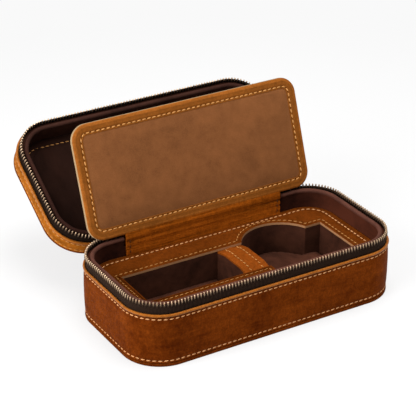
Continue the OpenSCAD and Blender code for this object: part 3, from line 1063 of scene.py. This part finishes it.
class WATCHCASE_OT_piping(Made, bpy.types.Operator):
    """Light piping in the join between the leather walls and the zip"""
    bl_idname = "watchcase.piping"
    bl_label = "Piping"

    def make(self):
        c, r = sizes("case"), sizes("rim")
        gap = c.spine_half + c.spine_gap
        cord = tube("base_piping_cord", outline(*case_shape(r.piping_inset), gap),
                    r.piping_r, r.piping_z, 4)
        flange = band("base_piping_flange", 0.0006, c.leather + 0.0001, c.wall_top - 0.0004,
                      r.piping_z + 0.0001)
        piping = joined([cord, flange], "base_tan_piping")
        ripple(piping, 0.004, 0.00012)
        on_both(piping, "tan_piping", 60, "base_piping")


class WATCHCASE_OT_rims(Made, bpy.types.Operator):
    """Rolled suede edge of each liner and the leather ledge at the back"""
    bl_idname = "watchcase.rims"
    bl_label = "Rolled edges and ledges"

    def make(self):
        c, r = sizes("case"), sizes("rim")
        gap = c.spine_half + c.spine_gap
        roll = tube("base_rolled_edge", outline(*case_shape(r.roll_inset), gap, 28),
                    r.roll_r, r.roll_z, 5)
        ripple(roll, 0.006, 0.0003)
        on_both(roll, "rose_suede", 60, "base_liner_edge")
        front = c.half_d - c.room
        ledge = block("base_leather_ledge", (-c.spine_half, c.spine_half),
                      (front, c.half_d), (r.ledge_z, r.ledge_z + r.ledge_t))
        round_edges(ledge, 0.0006, 3, lambda e: middle(e).z > r.ledge_z + 0.5 * r.ledge_t
                    or middle(e).y < front + NEAR)
        steps_in(ledge, (0, 0, 1), [(0.0007, 0), (0.0003, -0.0002), (0.0003, 0.0002)])
        on_both(ledge, "tray_leather", 50, "base_back_ledge")


class WATCHCASE_OT_zip_teeth(Made, bpy.types.Operator):
    """Metal teeth clamped on the woven bead of each tape, and the stops at their ends"""
    bl_idname = "watchcase.zip_teeth"
    bl_label = "Zip teeth"

    def make(self):
        z = sizes("zip")
        chain_line = (*case_shape(z.inset), z.end_x, 24)
        line = outline(*chain_line)
        step = line_length(line) / (z.teeth + 1)
        half_w, half_t, start = z.pitch * 0.21, z.tooth_t / 2, step * 1.5
        grip, stop_half = 0.0007, 0.0006
        tooth = block("base_metal_teeth", (start - half_w, start + half_w),
                      (-half_t, half_t), (z.tape_top - grip, z.tape_top + z.tooth_h))
        stretch(tooth, (0.9, 0.52, 1), (start, 0, 0), lambda v: v.co.z > z.tape_top)
        round_edges(tooth, 0.00028, 1, lambda e: True)
        edit(tooth, "FACE", lambda f: abs(f.normal.y) > 0.9)
        bpy.ops.mesh.inset(thickness=0.00020, depth=-0.00030, use_individual=True)
        put_down()
        on_both(run_along(tooth, line, z.teeth - 1, step), "chain_brass", 25,
                "base_zip_teeth")
        bead = tube("base_tape_bead", outline(*chain_line), z.bead_r,
                    z.tape_top + z.bead_r * 0.6)
        on_both(bead, "zip_tape", 35)
        y = sizes("case").half_d - z.inset
        stops = []
        for x in (-z.end_x, z.end_x):
            stop = block("stop", (x - stop_half, x + stop_half), (y - half_t, y + half_t),
                         (z.tape_top - 0.001, z.tape_top + 2 * stop_half))
            round_edges(stop, 0.0003, 2, lambda e: True)
            stops.append(stop)
        on_both(joined(stops, "base_metal_stops"), "antique_brass", 35, "base_zip_stops")


class WATCHCASE_OT_zip_ends(Made, bpy.types.Operator):
    """Ends of the zip tape, folded over from the base to the lid beside the spine"""
    bl_idname = "watchcase.zip_ends"
    bl_label = "Zip tape ends"

    def make(self):
        c, z = sizes("case"), sizes("zip")
        y, half_t, on_lid = c.half_d - z.inset, z.tape_t * 0.4, 0.0085
        inner = c.spine_half + 0.0008
        for name, x in (("left", (-z.end_x - 0.001, -inner)),
                        ("right", (inner, z.end_x - 0.0012))):
            end = block("zip_tape_end_" + name, x, (y - half_t, y + half_t),
                        (z.tape_top - 0.004, c.fold_z))
            fold_start, fold_end = fold_over(end, 14, [on_lid], y)
            on(None, end, "zip_tape", 60)
            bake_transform(end)


class WATCHCASE_OT_slider(Made, bpy.types.Operator):
    """Zip slider with its two plates and bridge, the pull's pin and the pull tab"""
    bl_idname = "watchcase.slider"
    bl_label = "Slider and pull"

    def make(self):
        c, z = sizes("case"), sizes("zip")
        x, y = z.slider_x, c.half_d - z.inset
        half_l, half_w, half_t = z.slider_l / 2, z.slider_w / 2, z.slider_t / 2
        inside, out = half_t - z.leaf_t, y + z.pin_out
        pin_r, bore_r, eye_r, hole_r, lug_half, tab_half = (
            0.0005, 0.0006, 0.0011, 0.0009, 0.0012, 0.0005)
        parts = []
        for face in ((y - half_t, y - inside), (y + inside, y + half_t)):
            leaf = block("leaf", (x - half_l, x + half_l), face,
                         (c.mesh - half_w, c.mesh + half_w))
            round_edges(leaf, 0.0017, 4, running("y"))
            round_edges(leaf, 0.0002, 2, across("y"))
            parts.append(leaf)
        wedge = block("wedge", (x - half_l / 3, x + half_l / 3), (y - inside, y + inside),
                      (c.mesh - z.leaf_t, c.mesh + z.leaf_t))
        round_edges(wedge, 0.0005, 3, running("y"))
        parts.append(wedge)
        for side in (-1, 1):
            heights = sorted(c.mesh + side * d for d in (0.0017, 0.0024))
            lug = block("lug", (x - lug_half, x + lug_half),
                        (y + half_t - 0.0002, out + eye_r), heights)
            round_edges(lug, 0.00105, 5, running("z", lambda e: middle(e).y > out))
            parts.append(lug)
        on("slider", joined(parts, "zip_slider_body"), "antique_brass", 35, "zip_slider")
        pin = drum("zip_slider_pin", (x, out, c.mesh), pin_r, 0.0050, 20)
        round_edges(pin, 0.0002, 2, across("z"))
        on("slider", pin, "antique_brass", 35, "zip_pull_pin")
        tab = block("zip_pull", (x - tab_half, x + tab_half), (out, out + z.pull_l),
                    (c.mesh - z.pull_w / 2, c.mesh + z.pull_w / 2))
        round_edges(tab, 0.0015, 6, running("x", lambda e: middle(e).y > out + 0.001))
        cut_rings(tab, [out + 0.0036, out + 0.0050], (0, 1, 0))
        stretch(tab, (1, 1, 0.80), (x, out, c.mesh), lambda v: v.co.y < out + 0.0037)
        hole = drum("hole", (x, out + z.pull_l - 0.0030, c.mesh), hole_r, 0.004, 24, "X")
        join_shape(tab, hole, "DIFFERENCE")
        join_shape(tab, drum("eye", (x, out, c.mesh), eye_r, 0.0027, 28), "UNION")
        join_shape(tab, drum("bore", (x, out, c.mesh), bore_r, 0.004, 24), "DIFFERENCE")
        on("pull_tab", tab, "antique_brass", 35, "zip_pull_tab")


class WATCHCASE_OT_spine(Made, bpy.types.Operator):
    """Leather spine, one strip that folds between the base and the lid"""
    bl_idname = "watchcase.spine"
    bl_label = "Spine"

    def make(self):
        c = sizes("case")
        spine = block("leather_spine", (-c.spine_half, c.spine_half),
                      (c.half_d, c.half_d + c.spine_t), (c.spine_foot, c.fold_z))
        cut_rings(spine, [c.spine_foot + 0.0008, 0.014, 0.024, 0.032])
        cut_rings(spine, [k * c.spine_half / 4 for k in range(-3, 4)], (1, 0, 0))
        fold_start, fold_end = fold_over(spine, 16, [0.004, 0.006, 0.0085, 0.0004],
                                         c.half_d + c.spine_t / 2)
        round_edges(spine, 0.0003, 2, across(
            "x", lambda e: abs(middle(e).x) > c.spine_half - NEAR and e.is_manifold
            and e.calc_face_angle(0) > 1))
        on(None, spine, "oiled_leather_plain", 60, "base_spine_leaf", "lid_spine_leaf")
        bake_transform(spine)


def well_area(side, grow):
    """A well's straight edges, moved out by a margin: across the case, then in depth."""
    t = sizes("tray")
    if side == "left":
        return ((t.left - grow, t.strap_l + grow), (t.left_front - grow, t.left_back + grow))
    return ((t.strap_r - grow, t.right + grow), (t.right_front - grow, t.right_back + grow))


def bulge_drum(grow, z0, z1):
    t = sizes("tray")
    return drum("bulge", (t.bulge_x, t.bulge_y, (z0 + z1) / 2), t.bulge_r + grow, z1 - z0, 58)


def tray_cut_out(name, grow, z0, z1, r=0.0):
    """The shape of the opening in the tray's leather, grown by a margin."""
    across_left, depth = well_area("left", grow)
    shape = block(name, (across_left[0], sizes("tray").strap_r + grow + 0.001), depth,
                  (z0, z1))
    right = block("right", *well_area("right", grow), (z0, z1))
    if r:
        for part in (shape, right):
            round_edges(part, r, 5, running("z"))
    join_shape(shape, right, "UNION")
    join_shape(shape, bulge_drum(grow, z0, z1), "UNION")
    weld(shape, 0.0004)
    return shape


def crown_lifts():
    """Places along the strap where its crown is shaped, and the rise of each."""
    t = sizes("tray")
    return [(t.left_front + (t.left_back - t.left_front) * i / 12, strap_crown(i / 12))
            for i in range(1, 12)]


def strap_crown(part):
    """Rise of the padded strap, a part of the way along it."""
    return sizes("tray").strap_rise * min(1, 1.5 * sin(pi * part))


class WATCHCASE_OT_tray(Made, bpy.types.Operator):
    """Tray leather with its cut-out and pressed line, and the strap between the wells"""
    bl_idname = "watchcase.tray"
    bl_label = "Tray"

    def make(self):
        c, t = sizes("case"), sizes("tray")
        low = t.top - t.leather
        tray = rounded("tray_leather", *case_shape(c.room), low, t.top, 20)
        join_shape(tray, tray_cut_out("cut", 0, low - 0.001, t.top + 0.001), "DIFFERENCE")
        steps_in(tray, (0, 0, 1), [
            (0.0002, 0.0001), (0.0004, 0.0002), (0.0004, 0.0), (0.0003, -0.0006),
            (0.0003, 0.0003), (0.0008, 0.0), (0.0003, -0.0002), (0.0003, 0.0001)])
        on("base", tray, "tray_leather", 40, "tray_top", parts=[
            ("cut_leather", lambda f: abs(f.normal.z) < 0.5
             and depth_in(f.calc_center_median(), *case_shape(c.room)) > 0.001
             and f.calc_center_median().z < t.top - NEAR)])
        strap = block("divider_strap", (t.strap_l, t.strap_r),
                      (t.left_front - t.strap_over, t.left_back + t.strap_over),
                      (t.strap_top - t.strap_t, t.strap_top))
        round_edges(strap, 0.0005, 3, running(
            "y", lambda e: middle(e).z > t.strap_top - NEAR))
        mid = (t.strap_l + t.strap_r) / 2
        lifts = crown_lifts()
        cut_rings(strap, [t.left_front, *(y for y, rise in lifts), t.left_back], (0, 1, 0))
        cut_rings(strap, [t.strap_l + t.strap_row, t.strap_r - t.strap_row, mid], (1, 0, 0))
        swell(strap, 0.0004, lambda v: abs(v.co.x - mid) < NEAR
              and v.co.z > t.strap_top - NEAR)
        for y, rise in lifts:
            shift(strap, (0, 0, rise), lambda v: abs(v.co.y - y) < NEAR)
        on("base", strap, "strap_leather", 60, "tray_divider_strap")


def cushion(piece, pressure, cap):
    """Fills a thin pad: it swells under the skin's pressure, by no more than the cap."""
    skin = piece.modifiers.new("skin", "REMESH")
    skin.mode, skin.voxel_size = "VOXEL", 0.0022
    apply_all(piece)
    before = [v.co.copy() for v in piece.data.vertices]
    cloth = piece.modifiers.new("fill", "CLOTH").settings
    cloth.use_pressure, cloth.uniform_pressure_force = True, pressure
    cloth.effector_weights.gravity = 0
    cloth.quality = 6
    for moment in range(1, 16):
        bpy.context.scene.frame_set(moment)
    apply_all(piece)
    bpy.context.scene.frame_set(1)
    edit(piece, "VERT")
    mesh = bmesh.from_edit_mesh(piece.data)
    for vertex, old in zip(mesh.verts, before):
        move = vertex.co - old
        if move.length > cap:
            vertex.co = old + move.normalized() * cap
    bmesh.update_edit_mesh(piece.data)
    put_down()


def well_shape(name, side, grow, z0, z1):
    """The solid that fills a well, grown by a margin, between two heights."""
    (left, right), depth = well_area(side, grow)
    shape = block(name, (left, right), depth, (z0, z1))
    if side == "right":
        bulge = bulge_drum(grow, z0, z1)
        keep = block("keep", (left, right - grow), (-0.04, 0.04), (z0 - 0.001, z1 + 0.001))
        join_shape(bulge, keep, "INTERSECT")
        join_shape(shape, bulge, "UNION")
    return shape


class WATCHCASE_OT_wells(Made, bpy.types.Operator):
    """Suede boxes of the two wells, up to the tray's leather, and their crowned pads"""
    bl_idname = "watchcase.wells"
    bl_label = "Wells"

    def make(self):
        t = sizes("tray")
        skin, slack, lip = 0.001, 0.0008, t.top - t.leather
        under_strap = t.strap_top - t.strap_t
        over = t.strap_over + 0.0001
        front, back = t.left_front - over, t.left_back + over
        lifts = crown_lifts()
        for side, edge, way in (("left", t.strap_l, 1), ("right", t.strap_r, -1)):
            box = well_shape(side + "_well_lining", side, skin, t.floor - skin, lip)
            join_shape(box, well_shape("room", side, 0, t.floor, lip + 0.001), "DIFFERENCE")
            cut_rings(box, [edge - way * 0.0004], (1, 0, 0))
            cut_rings(box, [front - 0.0002, front, back, back + 0.0002,
                            *(y for y, rise in lifts)], (0, 1, 0))
            shift(box, (0, 0, under_strap - lip), lambda v: v.co.z > lip - NEAR
                  and (v.co.x - edge) * way > -0.0001 and front - NEAR < v.co.y < back + NEAR)
            for y, rise in lifts:
                shift(box, (0, 0, rise), lambda v: abs(v.co.y - y) < NEAR
                      and v.co.z > under_strap - NEAR and (v.co.x - edge) * way > -0.0001)
            on("base", box, "dark_suede", 30, side + "_well_liner")
            pad = well_shape(side + "_pad_cushion", side, -slack, t.floor, t.floor + t.pad)
            cushion(pad, pressure=4.0, cap=0.0011)
            stretch(pad, (1, 1, 0), (0, 0, t.floor), lambda v: v.co.z < t.floor)
            face_out(pad)
            on("base", pad, "dark_suede", 80, side + "_well_pad")


def flap_shape(inset):
    """Half width, half height and corner radius of the flap's outline, moved in."""
    f = sizes("flap")
    return f.w / 2 - inset, f.h / 2 - inset, f.r - inset


class WATCHCASE_OT_flap(Made, bpy.types.Operator):
    """Padded flap: a leather border rolled over the board, with suede on both faces"""
    bl_idname = "watchcase.flap"
    bl_label = "Flap"

    def suede(self, name, inset, z0, z1, way, steps, rises, node):
        """A suede face, its edge stepped in and its middle crowned."""
        face = rounded(name, *flap_shape(inset), z0, z1, 10 if way > 0 else 12)
        steps_in(face, (0, 0, way), steps)
        level = (z1 if way > 0 else z0) + way * sum(rise for width, rise in steps)
        crown(face, *flap_shape(inset)[:2], level, rises)
        on("flap", face, "brown_suede", 60, node)
        return face

    def make(self):
        f, rim = sizes("flap"), 0.0021
        border = rounded("flap_leather_border", *flap_shape(0), -f.t, 0, 16)
        round_edges(border, 0.0012, 4, across("z"))
        steps_in(border, (0, 0, 1), [
            (0.0007, 0.0002), (0.0007, -0.0002), (0.0007, 0.0002), (f.row - 0.0039, 0.0),
            (0.0006, -0.0005), (0.0006, 0.0004), (0.0005, 0.0), (0.0004, -0.0009)])
        steps_in(border, (0, 0, -1), [(0.0012, 0.0), (0.0004, -0.0004)])
        on("flap", border, "tan_border", 50, "flap_frame", "flap_board", parts=[
            # the band along the rounded outer edge is painted lighter: rubbed wear together with
            # a painted highlight
            ("tan_border_rim",
             lambda face: depth_in(face.calc_center_median(), *flap_shape(0)) < rim),
            ("painted_edge", lambda face: abs(face.normal.z) < 0.35
             and face.calc_center_median().z < -0.0004)])
        front = self.suede("flap_front_suede", f.border - 0.0002, -0.0011, -0.0002, 1, [
            (0.0005, 0.0001), (0.0010, 0.00015)], [
            (0.0032, 0.00016), (0.0060, 0.00014), (0.0100, 0.0001), (0.0150, 0.00006)],
            "flap_front_panel")
        self.suede("flap_back_suede", 0.0016, -f.t - 0.0002, -f.t + 0.0006, -1, [
            (0.0006, 0.0001), (0.002, 0.0001)], [(0.0060, -0.0001), (0.0110, -0.0001)],
            "flap_back_panel")


class WATCHCASE_OT_flap_hinge(Made, bpy.types.Operator):
    """Leather strip that carries the flap, creased where it folds"""
    bl_idname = "watchcase.flap_hinge"
    bl_label = "Flap hinge"

    def make(self):
        c, t, f = sizes("case"), sizes("tray"), sizes("flap")
        face, fold = f.fold_y - 0.00005, f.fold_z - 0.0004
        strip = block("flap_hinge_leather", (-c.spine_half, c.spine_half),
                      (face, face + f.strip_t), (t.top - 0.0002, fold + 0.0062))
        bends = [fold - 0.0010 + k * 0.0004 for k in range(6)]
        creases, crease_half = [0.0312, 0.0346], 0.0009
        rings = [z + d for z in creases for d in (-crease_half, 0, crease_half)]
        cut_rings(strip, rings + bends + [fold + 0.003])
        cut_rings(strip, [k * c.spine_half / 5 for k in range(-4, 5)], (1, 0, 0))
        for z in creases:
            swell(strip, -0.0003, lambda v: abs(v.co.z - z) < NEAR and v.co.y < face + NEAR)
        for z in bends:
            turn(strip, f.lean / len(bends), (0, face, z), wanted=lambda v: v.co.z > z + NEAR)
        face_out(strip)
        on(None, strip, "hinge_leather", 60, "flap_hinge_strip")
        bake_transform(strip)


class WATCHCASE_OT_lid_lining(Made, bpy.types.Operator):
    """Padded suede panel inside the lid, with its sewn edge"""
    bl_idname = "watchcase.lid_lining"
    bl_label = "Lid lining"

    def make(self):
        c = sizes("case")
        high = c.closed - c.leather - c.lid_board
        panel = rounded("lid_suede_panel", *case_shape(c.room), high - 0.0011, high, 24)
        steps_in(panel, (0, 0, -1), [
            (0.0010, 0.0002), (0.0039, 0.0003), (0.0006, -0.0005), (0.0006, 0.0005),
            (0.0014, 0.00035), (0.004, 0.0003)])
        on("lid", panel, "dark_suede_panel", 60, "lid_liner_panel")


class WATCHCASE_OT_stitching(Made, bpy.types.Operator):
    """Every row of stitches, each stitch a grain of thread"""
    bl_idname = "watchcase.stitching"
    bl_label = "Stitching"

    def make(self):
        self.sew_walls()
        self.sew_tray()
        self.sew_strap()
        self.sew_flap_and_lid()
        self.sew_hinges()

    def sew_walls(self):
        c, seat = sizes("case"), sizes("thread").wall_seat
        for body, name, z, finish, fine in (
                ("base", "upper", c.wall_top - c.row_rim, "waxed_thread", 1.0),
                ("base", "lower", c.welt + c.row_foot, "waxed_thread", 1.0),
                ("lid", "rim", 2 * c.mesh - c.wall_top + c.row_rim, "dull_thread", 0.8),
                ("lid", "top", c.closed - c.leather - c.row_top, "dull_thread", 0.8)):
            line = outline(*case_shape(seat), steps=24)
            on(body, stitch_row(body + "_stitches_" + name, line, z, False, fine), finish, 80)

    def sew_tray(self):
        t, thread = sizes("tray"), sizes("thread")
        z = t.top + thread.seat
        line = outline(t.row_x, t.row_y, t.row_r)
        on("base", stitch_row("tray_stitches_outer", line, z), "waxed_thread", 80)
        shape = tray_cut_out("line", t.row_out, 0, 0.001, 0.0012)
        edit(shape, "FACE", lambda face: face.normal.z < -0.9)
        bpy.ops.mesh.region_to_loop()
        rim = {e.index for e in bmesh.from_edit_mesh(shape.data).edges if e.select}
        line = line_from(shape, lambda e: e.index in rim)
        row = stitch_row("tray_stitches_inner", line, z, fine=thread.fine)
        on("base", row, "dull_thread", 80)

    def sew_strap(self):
        t, thread = sizes("tray"), sizes("thread")
        mid, run = (t.left_front + t.left_back) / 2, t.left_back - t.left_front
        for name, x in (("left", t.strap_l + t.strap_row), ("right", t.strap_r - t.strap_row)):
            row = straight_row("strap_stitches_" + name, 9, thread.fine, "Z",
                               (x, mid, t.strap_top + 0.00025))
            for y in [mid + i * thread.pitch for i in range(-4, 5)]:
                shift(row, (0, 0, strap_crown((y - t.left_front) / run)),
                      lambda v: abs(v.co.y - y) < thread.pitch / 2)
            on("base", row, "dull_thread", 80)

    def sew_flap_and_lid(self):
        c, f = sizes("case"), sizes("flap")
        for name, inset, z in (("front", f.row, sizes("thread").seat),
                               ("back", f.row + 0.001, -f.t - 0.0003)):
            row = stitch_row("flap_stitches_" + name, outline(*flap_shape(inset)), z)
            on("flap", row, "golden_thread", 80)
        half_x, half_y, r = case_shape(c.room)
        line = outline(half_x - 0.0012, half_y - 0.0055, 0.011)
        z = c.closed - c.leather - c.lid_board - 0.0014
        row = stitch_row("lid_panel_stitches", line, z, fine=0.75)
        on("lid", row, "dull_thread", 80)

    def sew_hinges(self):
        c, t, f = sizes("case"), sizes("tray"), sizes("flap")
        x, y = c.spine_half - 0.0022, f.fold_y - sizes("thread").seat
        z = (t.top + f.fold_z) / 2 - 0.0006
        for name, side in (("left", -1), ("right", 1)):
            row = straight_row("hinge_stitches_" + name, 3, 1.0, "Y", (side * x, y, z))
            on("base", row, "dark_thread", 80)
        y = c.half_d + c.spine_t + 0.00005
        for body, z in (("base", c.spine_foot + 0.0022), ("lid", c.closed - 0.0032)):
            row = straight_row("spine_stitches_" + body, 31, 1.0, "X", (0, y, z))
            on(body, row, "waxed_thread", 80)


class WATCHCASE_OT_plain_parts(Made, bpy.types.Operator):
    """Finishes of the parts whose shape is already right: tapes, liners, boards and foam"""
    bl_idname = "watchcase.plain_parts"
    bl_label = "Tapes, liners and boards"

    def make(self):
        for node, finish in {
                "base_zip_tape": "zip_tape", "lid_zip_tape": "zip_tape_lid",
                "base_liner_wall": "liner_suede", "lid_liner_wall": "dark_suede_lid",
                "base_wall_board": "pressed_board", "base_floor_board": "pressed_board",
                "tray_board": "pressed_board", "lid_wall_board": "pressed_board",
                "lid_top_board": "pressed_board", "tray_foam_block": "dense_foam"}.items():
            finish_node(node, finish)


# ---------------------------------------------------------------- stage

class WATCHCASE_OT_stage(Made, bpy.types.Operator):
    """Pale floor, white surroundings, plain soft lamps and the camera"""
    bl_idname = "watchcase.stage"
    bl_label = "Stage"

    def lamp(self, name, place, size, power):
        put_down()
        bpy.ops.object.light_add(type="AREA", location=place)
        lamp = bpy.context.object
        lamp.name = name
        lamp.data.shape, lamp.data.size, lamp.data.energy = "DISK", size, power
        aim = Vector((0, 0.02, 0.03)) - Vector(place)
        lamp.rotation_euler = aim.to_track_quat("-Z", "Y").to_euler()

    def make_floor(self, s):
        """A paper floor whose own shade shows near the case and fades into the backdrop."""
        put_down()
        bpy.ops.mesh.primitive_plane_add(size=6, location=(0, 0, 0))
        floor = named("pale_floor")
        look = Look("pale_paper", Base_Color=full(s.paper), Roughness=0.9,
                    Specular_IOR_Level=0.1)
        x, y, z = look.axes()
        far = (x * x + y * y).between(s.fade_start ** 2, s.fade_end ** 2)
        glow = look.add("ShaderNodeEmission", {}, {"Color": full(s.backdrop)})
        share = look.seen_straight() * (far * (1 - s.unlit) + s.unlit)
        both = look.add("ShaderNodeMixShader", {}, {0: share, 1: look.shader, 2: glow})
        look.add("ShaderNodeOutputMaterial", {"is_active_output": True}, {"Surface": both})
        floor.data.materials.append(look.material)

    def make_sky(self, s):
        """Soft light from all round; the camera sees the plain backdrop instead."""
        world = bpy.data.worlds.new("plain_sky")
        sky = Graph(world)
        light = sky.add("ShaderNodeBackground", {}, {"Color": full((1, 1, 1)),
                                                     "Strength": s.sky})
        backdrop = sky.add("ShaderNodeBackground", {}, {"Color": full(s.backdrop)})
        both = sky.add("ShaderNodeMixShader", {},
                       {0: sky.seen_straight(), 1: light, 2: backdrop})
        sky.add("ShaderNodeOutputWorld", {}, {"Surface": both})
        bpy.context.scene.world = world

    def make_camera(self):
        focal_px, picture_px = 1598.99, 416
        right, up = Vector((0.85790, -0.51382, 0.0)), Vector((0.23481, 0.39205, 0.88947))
        put_down()
        bpy.ops.object.camera_add(location=(-0.42229, -0.67202, 0.46647))
        camera = bpy.context.object
        camera.name = "photo_camera"
        camera.rotation_euler = Matrix((right, up, right.cross(up))).transposed().to_euler()
        camera.data.sensor_width, camera.data.lens = 36.0, 36.0 * focal_px / picture_px
        camera.data.clip_start, camera.data.clip_end = 0.05, 20
        bpy.context.scene.camera = camera

    def make(self):
        s = sizes("stage")
        self.make_floor(s)
        self.make_sky(s)
        self.lamp("key_lamp", (0.20, -0.08, 0.95), 0.8, s.key)
        self.lamp("side_lamp", (-0.90, -0.08, 0.45), 0.9, s.fill)
        self.make_camera()
        bpy.context.scene.view_settings.view_transform = "Standard"


STEPS = [WATCHCASE_OT_walls, WATCHCASE_OT_plates, WATCHCASE_OT_piping, WATCHCASE_OT_rims,
         WATCHCASE_OT_zip_teeth, WATCHCASE_OT_zip_ends, WATCHCASE_OT_slider,
         WATCHCASE_OT_spine, WATCHCASE_OT_tray, WATCHCASE_OT_wells, WATCHCASE_OT_flap,
         WATCHCASE_OT_flap_hinge, WATCHCASE_OT_lid_lining, WATCHCASE_OT_stitching,
         WATCHCASE_OT_plain_parts, WATCHCASE_OT_stage]


class WATCHCASE_PT_panel(bpy.types.Panel):
    """Sizes and steps of the watch case"""
    bl_idname = "WATCHCASE_PT_panel"
    bl_label = "Watch Case"
    bl_space_type = "VIEW_3D"
    bl_region_type = "UI"
    bl_category = "Watch Case"

    def draw(self, context):
        for group, kind in GROUPS.items():
            box = self.layout.box()
            box.label(text=group.capitalize())
            for name in kind.__annotations__:
                box.prop(sizes(group), name)
        for step in STEPS:
            self.layout.operator(step.bl_idname)


def register():
    for kind in [*GROUPS.values(), *STEPS, WATCHCASE_PT_panel]:
        bpy.utils.register_class(kind)
    for group, kind in GROUPS.items():
        setattr(bpy.types.Scene, "watch_case_" + group, PointerProperty(type=kind))


def unregister():
    for group in GROUPS:
        delattr(bpy.types.Scene, "watch_case_" + group)
    for kind in reversed([*GROUPS.values(), *STEPS, WATCHCASE_PT_panel]):
        bpy.utils.unregister_class(kind)


def main():
    register()
    make_finishes()
    for step in STEPS:
        folder, name = step.bl_idname.split(".")
        getattr(getattr(bpy.ops, folder), name)()
    put_down()


if __name__ == "__main__":
    main()
